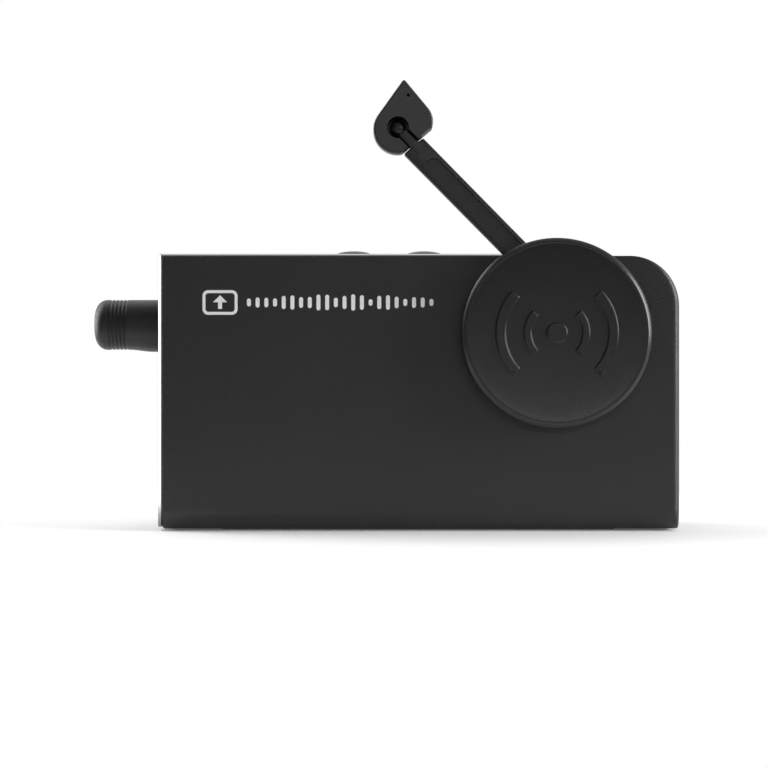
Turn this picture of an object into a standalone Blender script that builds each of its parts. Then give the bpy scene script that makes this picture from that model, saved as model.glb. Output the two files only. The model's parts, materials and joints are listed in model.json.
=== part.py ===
"""Telephone handset lifter: a desk unit whose motor raises a bar under the
handset, with a ring-detector microphone on a swinging arm.

Frame: origin at the middle of the base pad's underside, +X to the right along
the case, +Y from the front face to the rear, +Z up. Sizes are in millimetres
and become metres when a mesh is made.
"""
import math

import bmesh
import bpy

MM = 0.001

# ---- Driving sizes, millimetres --------------------------------------------------
CASE_LENGTH = 110.4
CASE_HEIGHT = 58.4
CASE_DEPTH = 34.0
PAD_STAND = 0.3           # the pad's underside below the case
WALL = 1.7
COVER_DEPTH = 5.0         # how far back the front cover reaches
SMALL_CORNER = 0.8
BIG_CORNER = 10.6         # the upper right corner
ROLL = 4.2                # rolled lower front edge
RIGHT_ROLL = 1.6
SHARP_EDGE = 0.3
REAR_EDGE = 2.0
MIN_CORNER = 0.15

SEAT = 0.12               # between a fixed piece and its seat
RUN = 0.2                 # round a part that turns or slides
REST = 0.3                # between faces that rest on each other

TRIM_SIDE = 0.8
TRIM_TOP = 0.4
TRIM_SETBACK = 0.6
TRIM_END = 35.0           # from the right end of the case

LIFT_UP = 5.0
LIFT_DOWN = 15.0
BAR_BELOW_TOP = 14.8
SLEEVE_RADIUS = 5.47
SLEEVE_RISE = 0.17         # the sleeve's middle above the rod's axis
SLEEVE_DROP = 0.45         # how far its lower side drops towards the case
SLEEVE_REACH = 15.36      # sleeve tip beyond the left end
NOSE_LENGTH = 2.63
NOSE_DEPTH = 2.97
RIB_START = 3.25           # from the tip
RIB_PITCH = 0.827
RIB_DEPTH = 0.14
RIBS = 5
SLEEVE_INSIDE = 3.0
ROD_RADIUS = 3.0
ROD_LENGTH = 42.0
SLOT_MARGIN = 0.73

CARRIAGE_LENGTH = 11.2
CARRIAGE_HEIGHT = 11.0
CARRIAGE_HALF = 8.6       # half its depth
CARRIAGE_INSET = 8.7      # from the left end of the case
GUIDE_RADIUS = 1.5
GUIDE_OFFSET = 6.2
RACK_WIDTH = 2.8
RACK_LOW = 19.7           # rack ends, from the bar's axis
RACK_HIGH = 6.5
RACK_BACK = 2.2

PRESSURE_ANGLE = math.radians(25)
ADDENDUM = 0.8
DEDENDUM = 1.05
TOOTH_THINNING = 0.07
RACK_MODULE, WHEEL_MODULE, MOTOR_MODULE = 0.8, 0.6, 0.5
FINAL_PINION_TEETH, FINAL_WHEEL_TEETH = 12, 40
IDLER_PINION_TEETH, IDLER_WHEEL_TEETH = 10, 44
MOTOR_TEETH = 10
PINION_BELOW_BAR = 11.5
IDLER_ANGLE = math.radians(-25)
MOTOR_ANGLE = math.radians(-20)
AXLE_RADIUS = 1.0
FRAME_FRONT, FRAME_BACK = 3.6, 4.8
MOTOR_RADIUS = 7.75
MOTOR_LENGTH = 17.3

SCREW_RADIUS = 1.2
SCREW_HEAD = 2.2
POST_RADIUS = 2.6
TUBE_RADIUS = 3.0

BUTTON_RADIUS = 4.0
BUTTON_RISE = 1.5         # dome above the top of the case
BUTTON_DOME = 0.9
BUTTON_PLACES = (41.3, 56.7)      # from the left end
BUTTON_TRAVEL = 0.8

TURRET_FROM_RIGHT = 26.5
TURRET_BELOW_TOP = 16.95
CAP_RADIUS = 19.8
CAP_THICKNESS = 2.95
CAP_DISH = 0.8
CAP_BEVEL = 0.8
ARM_THICKNESS = 2.8
ARM_STANDOFF = 0.35       # hub's back face in front of the case
HUB_RADIUS = 11.5
STEM_RADIUS = 4.0
BUSH_WALL = 1.8
LEAD_RADIUS = 0.5
ARM_ANGLE = math.radians(134.6)
ARM_OFFSET = 6.3          # the arm's centre line beside the turret's axis
ARM_REACH = 48.89
CHANNEL_END = 43.0
ARM_WIDTH = 5.2
HEAD_REACH = 53.8
HEAD_OFFSET = 6.6
HEAD_RADIUS = 1.7
HEAD_RING = 0.6           # open ring round the ball
NECK_HALF = 1.2

# Circles round which the pod's outline is drawn: middle from its pivot, and radius.
POD_CIRCLES = (((-0.07, -0.39), 5.1), ((3.03, 1.26), 4.3), ((1.25, 9.44), 0.45))
POD_CAPSULE = (1.3, 5.4)   # the capsule's middle from the pivot
POD_PORT = (2.15, 6.7)     # the port's middle from the pivot
POD_THICKNESS = 4.2
POD_HEEL = 4.8            # rounded end next to the arm, from the pivot
HEEL_SLANT = math.radians(4.8)    # the heel's turn from square to the arm
POD_STANDOFF = 0.5

PAD_SIZE = (84.0, 20.0, 1.2)
BOARD_THICKNESS = 1.6
SOCKET_SIZE = (13.0, 12.0)

# ---- Places that follow from them ------------------------------------------------
LEFT, RIGHT = -CASE_LENGTH / 2, CASE_LENGTH / 2
FRONT, REAR = -CASE_DEPTH / 2, CASE_DEPTH / 2
BOTTOM, TOP = PAD_STAND, PAD_STAND + CASE_HEIGHT
SHELL_LEFT = LEFT + TRIM_SIDE + SEAT
SHELL_TOP = TOP - TRIM_TOP - SEAT
PARTING = FRONT + COVER_DEPTH
FLOOR, CEILING = BOTTOM + WALL, SHELL_TOP - WALL
REAR_INSIDE = REAR - WALL
BAR_Z = TOP - BAR_BELOW_TOP
CARRIAGE_LEFT = LEFT + CARRIAGE_INSET
CARRIAGE_RIGHT = CARRIAGE_LEFT + CARRIAGE_LENGTH
PITCH_LINE = CARRIAGE_RIGHT + REST + RACK_BACK + DEDENDUM * RACK_MODULE
RACK_FRONT = CARRIAGE_HALF - 0.4 - RACK_WIDTH
GUIDES = ((CARRIAGE_LEFT + 6.0, -GUIDE_OFFSET), (CARRIAGE_LEFT + 3.5, GUIDE_OFFSET))
FINAL = (PITCH_LINE + RACK_MODULE * FINAL_PINION_TEETH / 2, BAR_Z - PINION_BELOW_BAR)
WHEEL_FRONT = CARRIAGE_HALF + 0.5
WHEEL_BACK = WHEEL_FRONT + 2.4
IDLER_FRONT = WHEEL_BACK + 0.6
IDLER_BACK = IDLER_FRONT + 2.2
TURRET = (RIGHT - TURRET_FROM_RIGHT, TOP - TURRET_BELOW_TOP)
HUB_BACK = FRONT - ARM_STANDOFF
HUB_FRONT = HUB_BACK - ARM_THICKNESS
CAP_BACK = HUB_FRONT - REST
CAP_FRONT = CAP_BACK - CAP_THICKNESS
BUSH_RADIUS = STEM_RADIUS + RUN + BUSH_WALL
POD_BACK_FACE = FRONT - POD_STANDOFF
POD_FRONT_FACE = POD_BACK_FACE - POD_THICKNESS
POD_PARTING = (POD_BACK_FACE + POD_FRONT_FACE) / 2
BUTTON_X = tuple(LEFT + place for place in BUTTON_PLACES)
SHELF = (BUTTON_X[0] - 5.1, BUTTON_X[1] + 5.5)
SHELF_TOP = TOP - 11.3
CASE_SCREWS = ((LEFT + 6.0, BOTTOM + 6.2), (SHELF[0] - 3.6, SHELL_TOP - 5.2),
               (RIGHT - 8.7, BOTTOM + 6.2), (RIGHT - 9.7, SHELL_TOP - 9.7))


def step_round(start, angle, distance):
    """The point at a distance and an angle from start, seen from the front."""
    return (start[0] + distance * math.cos(angle), start[1] + distance * math.sin(angle))


IDLER = step_round(FINAL, IDLER_ANGLE,
                   WHEEL_MODULE * (FINAL_WHEEL_TEETH + IDLER_PINION_TEETH) / 2)
MOTOR = step_round(IDLER, MOTOR_ANGLE, MOTOR_MODULE * (IDLER_WHEEL_TEETH + MOTOR_TEETH) / 2)
FRAME_LEFT, FRAME_RIGHT = FINAL[0] - 3.8, MOTOR[0] + 8.9
FRAME_LOW, FRAME_HIGH = MOTOR[1] - 9.0, SHELF_TOP - 1.9
STANDOFFS = ((FINAL[0] - 0.9, FINAL[1] - 17.4), (MOTOR[0] - 8.0, FRAME_HIGH - 2.6),
             (MOTOR[0] + 5.9, MOTOR[1] + 9.0))
BOARD = (FRAME_RIGHT + 3.0, RIGHT - WALL - 12.0)
BOARD_Z = (BOTTOM + 4.7, TURRET[1] + 8.0)
BOARD_FRONT = 4.0
BOARD_BACK = BOARD_FRONT + BOARD_THICKNESS
SOCKET_X = (BOARD[0] + BOARD[1]) / 2
SOCKET_Z = BOARD_Z[0] + 9.0


# ---- Solids: each is a list of points and a list of faces -------------------------
AXES = {"X": (0, 1, 2), "Y": (1, 0, 2), "Z": (2, 0, 1)}


def place(axis, along, first, second):
    """A point from its distance along an axis and its two other coordinates."""
    point = [0.0, 0.0, 0.0]
    for index, value in zip(AXES[axis], (along, first, second)):
        point[index] = value
    return tuple(point)


def loft(rings):
    """Rings of equally many points joined in order, with both ends capped."""
    count = len(rings[0])
    points = [point for ring in rings for point in ring]
    faces = [tuple(range(count)), tuple(range(len(points) - count, len(points)))]
    for level in range(len(rings) - 1):
        low, high = level * count, (level + 1) * count
        for i in range(count):
            after = (i + 1) % count
            faces.append((low + i, low + after, high + after, high + i))
    return points, faces


def prism(outline, axis, start, end):
    """An outline carried straight along an axis."""
    return loft([[place(axis, level, a, b) for a, b in outline] for level in (start, end)])


def block(x, y, z):
    """A box between two values on each axis."""
    return prism(((x[0], z[0]), (x[1], z[0]), (x[1], z[1]), (x[0], z[1])), "Y", *y)


def turned(profile, axis, centre, steps=32):
    """A closed profile of (radius, along) pairs turned about an axis."""
    points, rings = [], []
    for radius, along in profile:
        if radius == 0.0:
            rings.append([len(points)] * steps)
            points.append(place(axis, along, *centre))
            continue
        rings.append(list(range(len(points), len(points) + steps)))
        for k in range(steps):
            side = step_round(centre, 2 * math.pi * k / steps, radius)
            points.append(place(axis, along, *side))
    faces = []
    for ring, following in zip(rings, rings[1:] + rings[:1]):
        for k in range(steps):
            after = (k + 1) % steps
            corners = list(dict.fromkeys((ring[k], ring[after], following[after], following[k])))
            if len(corners) > 2:
                faces.append(corners)
    return points, faces


def rod(radius, axis, centre, start, end, steps=20):
    """A plain cylinder."""
    return turned(((0.0, start), (radius, start), (radius, end), (0.0, end)), axis, centre, steps)


def tube(inner, outer, axis, centre, start, end, steps=24):
    """A cylinder with a hole right through it."""
    profile = ((inner, start), (outer, start), (outer, end), (inner, end))
    return turned(profile, axis, centre, steps)


def stadium(first, low, high, radius, steps=10):
    """The outline of an upright slot: two half circles joined by straight sides."""
    top = [step_round((first, high), math.pi * k / steps, radius) for k in range(steps + 1)]
    base = [step_round((first, low), math.pi * (1 + k / steps), radius)
            for k in range(steps + 1)]
    return top + base


def moved(solid, move):
    """A solid with each point sent through a function."""
    points, faces = solid
    return [move(*point) for point in points], faces


def along_arm(reach, y, offset):
    """From the arm's own frame (along it, depth, beside it) to the part's frame."""
    along = step_round(TURRET, ARM_ANGLE, reach)
    x, z = step_round(along, ARM_ANGLE - math.pi / 2, offset)
    return (x, y, z)


# ---- Objects ----------------------------------------------------------------------
def finish(name, colour, roughness, metallic=0.0):
    """A plain material."""
    material = bpy.data.materials.new(name)
    material.use_nodes = True
    shader = material.node_tree.nodes["Principled BSDF"]
    shader.inputs["Base Color"].default_value = (*colour, 1.0)
    shader.inputs["Roughness"].default_value = roughness
    shader.inputs["Metallic"].default_value = metallic
    return material


def make_object(name, solids, pivot):
    """One mesh object from solids, its origin at the pivot."""
    points, faces = [], []
    for solid_points, solid_faces in solids:
        base = len(points)
        points += [tuple((a - b) * MM for a, b in zip(point, pivot)) for point in solid_points]
        faces += [[base + i for i in face] for face in solid_faces]
    mesh = bpy.data.meshes.new(name)
    mesh.from_pydata(points, [], faces)
    shape = bmesh.new()
    shape.from_mesh(mesh)
    bmesh.ops.recalc_face_normals(shape, faces=shape.faces)
    shape.to_mesh(mesh)
    shape.free()
    made = bpy.data.objects.new(name, mesh)
    made.location = tuple(value * MM for value in pivot)
    bpy.context.scene.collection.objects.link(made)
    return made


def piece(name, material, *solids, pivot=(0.0, 0.0, 0.0), smooth=True):
    """A node of the part, shaded smooth where its faces meet gently."""
    made = make_object(name, solids, pivot)
    made.data.materials.append(material)
    if smooth:
        made.data.shade_smooth()
        made.data.set_sharp_from_angle(angle=math.radians(30))
    return made


def work(target, operation, solids):
    """A Boolean with solids that don't touch each other."""
    tool = make_object(f"{target.name}_tool", solids, (0.0, 0.0, 0.0))
    tool.hide_render = True
    tool.display_type = "WIRE"
    modifier = target.modifiers.new(operation.title(), "BOOLEAN")
    modifier.operation = operation
    modifier.solver = "EXACT"
    modifier.object = tool


def weld(target, *solids):
    """Add solids to a piece."""
    work(target, "UNION", solids)


def carve(target, *solids):
    """Cut solids out of a piece."""
    work(target, "DIFFERENCE", solids)


# ---- Case -------------------------------------------------------------------------
def case_ring(face, inward, fillets, turn, inset=0.0, depth=0.0):
    """One ring round the case. The fillets are those of the left, right, lower
    and upper edges; turn runs from 0 on the flat face to a quarter turn on the
    side; inset and depth move the ring in from the outside."""
    left, right, lower, upper = fillets
    shrink, sink = 1 - math.sin(turn), 1 - math.cos(turn)
    sides = (SHELL_LEFT + inset + left * shrink, RIGHT - inset - right * shrink)
    levels = (BOTTOM + inset + lower * shrink, SHELL_TOP - inset - upper * shrink)
    corners = ((0, 0, SMALL_CORNER, left, lower, 2), (1, 0, SMALL_CORNER, lower, right, 2),
               (1, 1, BIG_CORNER, right, upper, 9), (0, 1, SMALL_CORNER, upper, left, 2))
    ring = []
    for quarter, (side, level, radius, before, after, steps) in enumerate(corners):
        across = max(radius - inset - (left, right)[side] * shrink, MIN_CORNER)
        upward = max(radius - inset - (lower, upper)[level] * shrink, MIN_CORNER)
        x = sides[side] + (across if side == 0 else -across)
        z = levels[level] + (upward if level == 0 else -upward)
        for k in range(steps + 1):
            angle = math.pi * (1 + (quarter + k / steps) / 2)
            y = face + inward * (depth + (before + (after - before) * k / steps) * sink)
            ring.append((x + across * math.cos(angle), y, z + upward * math.sin(angle)))
    return ring


def tray(face, rim, fillets):
    """Half of the case: an open tray with a closed face and rounded edges."""
    inward = 1 if rim > face else -1
    hollow = tuple(max(fillet - WALL, MIN_CORNER) for fillet in fillets)
    flat = (0.0, 0.0, 0.0, 0.0)
    turns = [math.pi / 2 * k / 4 for k in range(5)]
    outside = [case_ring(face, inward, fillets, turn) for turn in turns]
    inside = [case_ring(face, inward, hollow, turn, WALL, WALL) for turn in turns]
    rims = [case_ring(rim, inward, flat, 0.0), case_ring(rim, inward, flat, 0.0, WALL)]
    return loft(outside + rims + inside[::-1])


def front_cover(plastic):
    """The front half, with four screw posts and the hole for the turret's bush."""
    cover = piece("front_cover", plastic,
                  tray(FRONT, PARTING, (SHARP_EDGE, RIGHT_ROLL, ROLL, SHARP_EDGE)))
    posts = [turned(((0.0, FRONT + WALL / 2), (POST_RADIUS, FRONT + WALL / 2),
                     (POST_RADIUS, 0.8), (SCREW_RADIUS + SEAT, 0.8),
                     (SCREW_RADIUS + SEAT, FRONT + 5.0), (0.0, FRONT + 5.0)), "Y", centre, 16)
             for centre in CASE_SCREWS]
    weld(cover, *posts)
    carve(cover, rod(BUSH_RADIUS + SEAT, "Y", TURRET, FRONT - 1, FRONT + WALL + 1, 32))
    return cover


def rear_housing(plastic):
    """The rear half: screw tubes, guide and axle seats, shelf and openings."""
    housing = piece("rear_housing", plastic, tray(REAR, PARTING + 2 * SEAT, (REAR_EDGE,) * 4))
    slot = prism(stadium(0.0, BAR_Z - LIFT_DOWN, BAR_Z + LIFT_UP, SLEEVE_RADIUS + SLOT_MARGIN),
                 "X", LEFT - 1, SHELL_LEFT + WALL + 1)
    buttons = [rod(BUTTON_RADIUS + RUN, "Z", (x, 0.0), CEILING - 1, TOP + 1, 24)
               for x in BUTTON_X]
    half = SOCKET_SIZE[0] / 2 + RUN
    rise = SOCKET_SIZE[1] / 2 + RUN
    socket = block((SOCKET_X - half, SOCKET_X + half), (REAR_INSIDE - 1, REAR + 1),
                   (SOCKET_Z - rise, SOCKET_Z + rise))
    length, width, thickness = PAD_SIZE
    recess = block((-length / 2 - RUN, length / 2 + RUN), (-width / 2 - RUN, width / 2 + RUN),
                   (-1.0, thickness + SEAT))
    carve(housing, slot, *buttons, socket, recess)
    into_wall = REAR - WALL / 2
    tubes = [rod(TUBE_RADIUS, "Y", centre, 1.1, into_wall, 16) for centre in CASE_SCREWS]
    axle_bosses = [rod(2.6, "Y", centre, IDLER_BACK + 0.4, into_wall, 16)
                   for centre in (FINAL, IDLER)]
    frame_bosses = [rod(2.2, "Y", centre, FRAME_BACK + REST, into_wall, 12)
                    for centre in STANDOFFS]
    board_bosses = [rod(2.2, "Y", centre, BOARD_BACK + REST, into_wall, 12)
                    for centre in board_screws()]
    weld(housing, *tubes, *axle_bosses, *frame_bosses, *board_bosses)
    shelf = block(SHELF, (6.0, into_wall), (SHELF_TOP - WALL, SHELF_TOP))
    floor_seats = [rod(GUIDE_RADIUS + 1.3, "Z", centre, BOTTOM + 1.2, FLOOR + 2.0, 16)
                   for centre in GUIDES]
    roof_seats = [rod(GUIDE_RADIUS + 1.3, "Z", centre, CEILING - 1.0, CEILING + 0.5, 16)
                  for centre in GUIDES]
    weld(housing, shelf, *floor_seats, *roof_seats)
    shank, head = SCREW_RADIUS + SEAT, SCREW_HEAD + SEAT
    carve(housing, *[turned(((0.0, 0.0), (shank, 0.0), (shank, 3.1), (head, 3.1),
                             (head, REAR + 1), (0.0, REAR + 1)), "Y", centre, 14)
                     for centre in CASE_SCREWS])
    blind = [rod(AXLE_RADIUS + SEAT, "Y", centre, IDLER_BACK, REAR - 0.7, 16)
             for centre in (FINAL, IDLER)]
    pilots = [rod(0.9 + SEAT, "Y", centre, FRAME_FRONT, REAR - 3.0, 12)
              for centre in STANDOFFS + board_screws()]
    guides = [rod(GUIDE_RADIUS + SEAT, "Z", centre, FLOOR + SEAT, CEILING - SEAT, 16)
              for centre in GUIDES]
    carve(housing, *blind, *pilots, *guides)
    return housing


def end_trim(gloss):
    """The thin strip down the left end and along the top."""
    outline = ((LEFT, BOTTOM + 0.6), (LEFT + TRIM_SIDE, BOTTOM + 0.6),
               (LEFT + TRIM_SIDE, TOP - TRIM_TOP), (RIGHT - TRIM_END, TOP - TRIM_TOP),
               (RIGHT - TRIM_END, TOP), (LEFT, TOP))
    trim = piece("end_trim", gloss, prism(outline, "Y", FRONT + TRIM_SETBACK, REAR - REAR_EDGE))
    slot = prism(stadium(0.0, BAR_Z - LIFT_DOWN, BAR_Z + LIFT_UP, SLEEVE_RADIUS + SLOT_MARGIN),
                 "X", LEFT - 1, LEFT + TRIM_SIDE + 1)
    holes = [rod(BUTTON_RADIUS + RUN, "Z", (x, 0.0), TOP - 2, TOP + 1, 24) for x in BUTTON_X]
    carve(trim, slot, *holes)
    return trim


def base_pad(rubber):
    """The rubber foot, in a recess under the case."""
    length, width, thickness = PAD_SIZE
    return piece("base_pad", rubber, block((-length / 2, length / 2), (-width / 2, width / 2),
                                           (0.0, thickness)))


def screw(name, steel, centre, seat, shank, end, head):
    """A pan-head screw along Y with its head towards the rear when end < seat."""
    outward = 1 if end < seat else -1
    profile = [(0.0, end), (shank, end), (shank, seat), (head, seat),
               (head, seat + outward * 1.1), (head * 0.7, seat + outward * 1.6),
               (head * 0.45, seat + outward * 1.6), (head * 0.45, seat + outward * 0.7),
               (0.0, seat + outward * 0.7)]
    return piece(name, steel, turned(profile, "Y", centre, 12))


def case_screws(steel):
    """Four long screws from the rear into the front cover's posts."""
    for number, centre in enumerate(CASE_SCREWS, 1):
        screw(f"case_screw_{number}", steel, centre, 3.1 + SEAT, SCREW_RADIUS, FRONT + 7.0,
              SCREW_HEAD)


# ---- Lift -------------------------------------------------------------------------
def sleeve_ring(x, radius, drop, steps=28):
    """One ring of the sleeve; its lower side drops a little towards the case."""
    centre = (0.0, BAR_Z + SLEEVE_RISE)
    ring = [step_round(centre, 2 * math.pi * k / steps, radius) for k in range(steps)]
    return [(x, a, b if b > centre[1] else centre[1] + (b - centre[1]) * (1 + drop / radius))
            for a, b in ring]


def lift_sleeve(rubber):
    """The ribbed rubber sleeve with its rounded tip and a bore for the rod."""
    tip = LEFT - SLEEVE_REACH
    turns = [math.pi / 2 * k / 5 for k in range(6)]
    rings = [sleeve_ring(tip + NOSE_LENGTH * (1 - math.cos(turn)),
                         SLEEVE_RADIUS - NOSE_DEPTH * (1 - math.sin(turn)), 0.0)
             for turn in turns]
    for rib in range(RIBS):
        start = tip + RIB_START + rib * RIB_PITCH
        rings += [sleeve_ring(start, SLEEVE_RADIUS, 0.0),
                  sleeve_ring(start + RIB_PITCH * 0.5, SLEEVE_RADIUS - RIB_DEPTH, 0.0)]
    rings += [sleeve_ring(tip + RIB_START + RIBS * RIB_PITCH, SLEEVE_RADIUS, 0.0),
              sleeve_ring(tip + 10.1, SLEEVE_RADIUS, 0.78 * SLEEVE_DROP),
              sleeve_ring(tip + 12.5, SLEEVE_RADIUS, SLEEVE_DROP),
              sleeve_ring(LEFT + SLEEVE_INSIDE, SLEEVE_RADIUS, SLEEVE_DROP)]
    sleeve = piece("lift_sleeve", rubber, loft(rings), pivot=(LEFT, 0.0, BAR_Z))
    carve(sleeve, rod(ROD_RADIUS + SEAT, "X", (0.0, BAR_Z), tip + 2.06, LEFT + 10, 20))
    return sleeve


def lift_rod(steel):
    """The rod inside the sleeve, which slides in the carriage."""
    start = LEFT - SLEEVE_REACH + 2.36
    end = start + ROD_LENGTH
    return piece("lift_rod", steel,
                 turned(((0.0, start), (ROD_RADIUS - 0.4, start), (ROD_RADIUS, start + 0.4),
                         (ROD_RADIUS, end - 0.4), (ROD_RADIUS - 0.4, end), (0.0, end)),
                        "X", (0.0, BAR_Z), 20), pivot=(LEFT, 0.0, BAR_Z))


def lift_carriage(plastic):
    """The block that carries the rod up and down the two guide rods."""
    half = CARRIAGE_HEIGHT / 2
    carriage = piece("lift_carriage", plastic,
                     block((CARRIAGE_LEFT, CARRIAGE_RIGHT), (-CARRIAGE_HALF, CARRIAGE_HALF),
                           (BAR_Z - half, BAR_Z + half)), pivot=(CARRIAGE_LEFT, 0.0, BAR_Z))
    carve(carriage, rod(ROD_RADIUS + RUN, "X", (0.0, BAR_Z), CARRIAGE_LEFT - 1,
                        CARRIAGE_RIGHT + 1, 20),
          *[rod(GUIDE_RADIUS + RUN, "Z", centre, BAR_Z - half - 1, BAR_Z + half + 1, 16)
            for centre in GUIDES])
    return carriage


def lift_rack(plastic):
    """The rack on the carriage, with a gap facing the final pinion's tooth."""
    pitch = math.pi * RACK_MODULE
    root = PITCH_LINE - DEDENDUM * RACK_MODULE
    tip = PITCH_LINE + ADDENDUM * RACK_MODULE
    half = pitch / 4 - TOOTH_THINNING / 2
    slope = math.tan(PRESSURE_ANGLE)
    low, high = BAR_Z - RACK_LOW, BAR_Z + RACK_HIGH
    outline = [(root - RACK_BACK, low), (root, low)]
    first = math.ceil((low + 1.5 - FINAL[1]) / pitch - 0.5)
    last = math.floor((high - 1.5 - FINAL[1]) / pitch - 0.5)
    for tooth in range(first, last + 1):
        middle = FINAL[1] + (tooth + 0.5) * pitch
        at_root, at_tip = half + (PITCH_LINE - root) * slope, half - (tip - PITCH_LINE) * slope
        outline += [(root, middle - at_root), (tip, middle - at_tip),
                    (tip, middle + at_tip), (root, middle + at_root)]
    outline += [(root, high), (root - RACK_BACK, high)]
    return piece("lift_rack", plastic, prism(outline, "Y", RACK_FRONT, RACK_FRONT + RACK_WIDTH),
                 pivot=(PITCH_LINE, 0.0, BAR_Z), smooth=False)


def guide_rods(steel):
    """Two upright rods between the floor and the roof of the case."""
    for name, centre in zip(("guide_rod_front", "guide_rod_rear"), GUIDES):
        piece(name, steel, rod(GUIDE_RADIUS, "Z", centre, FLOOR + REST, CEILING - REST, 16))


# ---- Gears ------------------------------------------------------------------------
def involute(angle):
    """Involute function of a pressure angle."""
    return math.tan(angle) - angle


def gear_outline(teeth, module, phase, centre):
    """A gear's outline: root, base or root, pitch and tip points on each flank."""
    pitch = module * teeth / 2
    base = pitch * math.cos(PRESSURE_ANGLE)
    root, tip = pitch - DEDENDUM * module, pitch + ADDENDUM * module
    half_pitch = (math.pi * module / 2 - TOOTH_THINNING) / (2 * pitch)
    flank = []
    for radius in sorted({root, max(root, base + 0.001), pitch, tip}):
        pressure = math.acos(min(1.0, base / max(radius, base)))
        flank.append((radius, half_pitch + involute(PRESSURE_ANGLE) - involute(pressure)))
    outline = []
    for tooth in range(teeth):
        middle = phase + 2 * math.pi * tooth / teeth
        outline += [step_round(centre, middle - half, radius) for radius, half in flank]
        outline += [step_round(centre, middle + half, radius) for radius, half in flank[::-1]]
    return outline


def mesh_phase(phase, teeth, other_teeth, angle):
    """Phase of a gear that meshes with another at the given angle."""
    return angle + math.pi + math.pi / other_teeth - (phase - angle) * teeth / other_teeth


def cluster_gear(name, plastic, centre, wheel, pinion, bore):
    """A wheel and a pinion on one hub. Each is (teeth, module, phase, front, back)."""
    pivot = place("Y", 0.0, *centre)
    gear = piece(name, plastic, prism(gear_outline(*wheel[:3], centre), "Y", *wheel[3:]),
                 pivot=pivot, smooth=False)
    weld(gear, prism(gear_outline(*pinion[:3], centre), "Y", *pinion[3:]))
    carve(gear, rod(bore, "Y", centre, FRAME_FRONT, REAR, 16))
    return gear


def gear_train(plastic, steel):
    """Final gear, idler gear and motor pinion, with the two axles."""
    bore = AXLE_RADIUS + RUN
    idler_phase = mesh_phase(0.0, FINAL_WHEEL_TEETH, IDLER_PINION_TEETH, IDLER_ANGLE)
    motor_phase = mesh_phase(0.0, IDLER_WHEEL_TEETH, MOTOR_TEETH, MOTOR_ANGLE)
    cluster_gear("final_gear", plastic, FINAL,
                 (FINAL_WHEEL_TEETH, WHEEL_MODULE, 0.0, WHEEL_FRONT, WHEEL_BACK),
                 (FINAL_PINION_TEETH, RACK_MODULE, 0.0, RACK_FRONT - 0.2, WHEEL_FRONT + 0.5),
                 bore)
    cluster_gear("idler_gear", plastic, IDLER,
                 (IDLER_WHEEL_TEETH, MOTOR_MODULE, 0.0, IDLER_FRONT, IDLER_BACK),
                 (IDLER_PINION_TEETH, WHEEL_MODULE, idler_phase, WHEEL_FRONT - 0.2,
                  IDLER_FRONT + 0.5), bore)
    pinion = piece("motor_pinion", plastic,
                   prism(gear_outline(MOTOR_TEETH, MOTOR_MODULE, motor_phase, MOTOR), "Y",
                         IDLER_FRONT, IDLER_BACK), pivot=place("Y", 0.0, *MOTOR), smooth=False)
    carve(pinion, rod(AXLE_RADIUS + SEAT, "Y", MOTOR, FRAME_FRONT, REAR, 16))
    for name, centre in (("final_axle", FINAL), ("idler_axle", IDLER)):
        piece(name, steel, rod(AXLE_RADIUS, "Y", centre, FRAME_FRONT + 0.2, REAR - 1.0, 16))
    piece("motor_shaft", steel, rod(AXLE_RADIUS, "Y", MOTOR, -4.0, IDLER_BACK + 0.4, 16),
          pivot=place("Y", 0.0, *MOTOR))


def motor_can(steel):
    """The motor, with a blind hole for its shaft."""
    front = FRAME_FRONT - REST - MOTOR_LENGTH
    back = FRAME_FRONT - REST
    hole = AXLE_RADIUS + RUN
    return piece("motor_can", steel,
                 turned(((0.0, front), (MOTOR_RADIUS - 0.8, front), (MOTOR_RADIUS, front + 0.8),
                         (MOTOR_RADIUS, back), (hole, back), (hole, -4.5), (0.0, -4.5)),
                        "Y", MOTOR, 32))


def gear_frame(steel):
    """The plate that holds the motor and the axles' front ends."""
    frame = piece("gear_frame", steel,
                  block((FRAME_LEFT, FRAME_RIGHT), (FRAME_FRONT, FRAME_BACK),
                        (FRAME_LOW, FRAME_HIGH)), smooth=False)
    carve(frame, *[rod(AXLE_RADIUS + SEAT, "Y", centre, 0.0, 9.0, 16)
                   for centre in (FINAL, IDLER)],
          rod(AXLE_RADIUS + RUN, "Y", MOTOR, 0.0, 9.0, 16),
          *[rod(0.9 + SEAT, "Y", centre, 0.0, 9.0, 12) for centre in STANDOFFS])
    for number, centre in enumerate(STANDOFFS, 1):
        screw(f"frame_screw_{number}", steel, centre, FRAME_FRONT - SEAT, 0.9, REAR - 4.0, 1.6)
    return frame


def limit_switches(board_green, black):
    """The small board in front of the carriage and its two end switches."""
    x = (CARRIAGE_LEFT - 0.6, CARRIAGE_RIGHT)
    board_y = (FRONT + WALL + 0.7, FRONT + WALL + 1.7)
    piece("limit_board", board_green,
          block(x, board_y, (FLOOR + 9.0, CEILING - 1.5)), smooth=False)
    switch_y = (board_y[1] + SEAT, -CARRIAGE_HALF - 0.4)
    half = CARRIAGE_HEIGHT / 2
    for name, middle in (("limit_switch_top", BAR_Z + LIFT_UP + half - 3.6),
                         ("limit_switch_bottom", BAR_Z - LIFT_DOWN - half - 2.8)):
        piece(name, black, block((x[0] + 1, x[1] - 1), switch_y, (middle - 3.0, middle + 3.0)),
              smooth=False)


# ---- Boards -----------------------------------------------------------------------
def board_screws():
    """Places of the two screws that hold the main board."""
    return ((BOARD[0] + 3.0, BOARD_Z[1] - 3.0), (BOARD[1] - 3.0, BOARD_Z[0] + 3.0))


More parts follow.
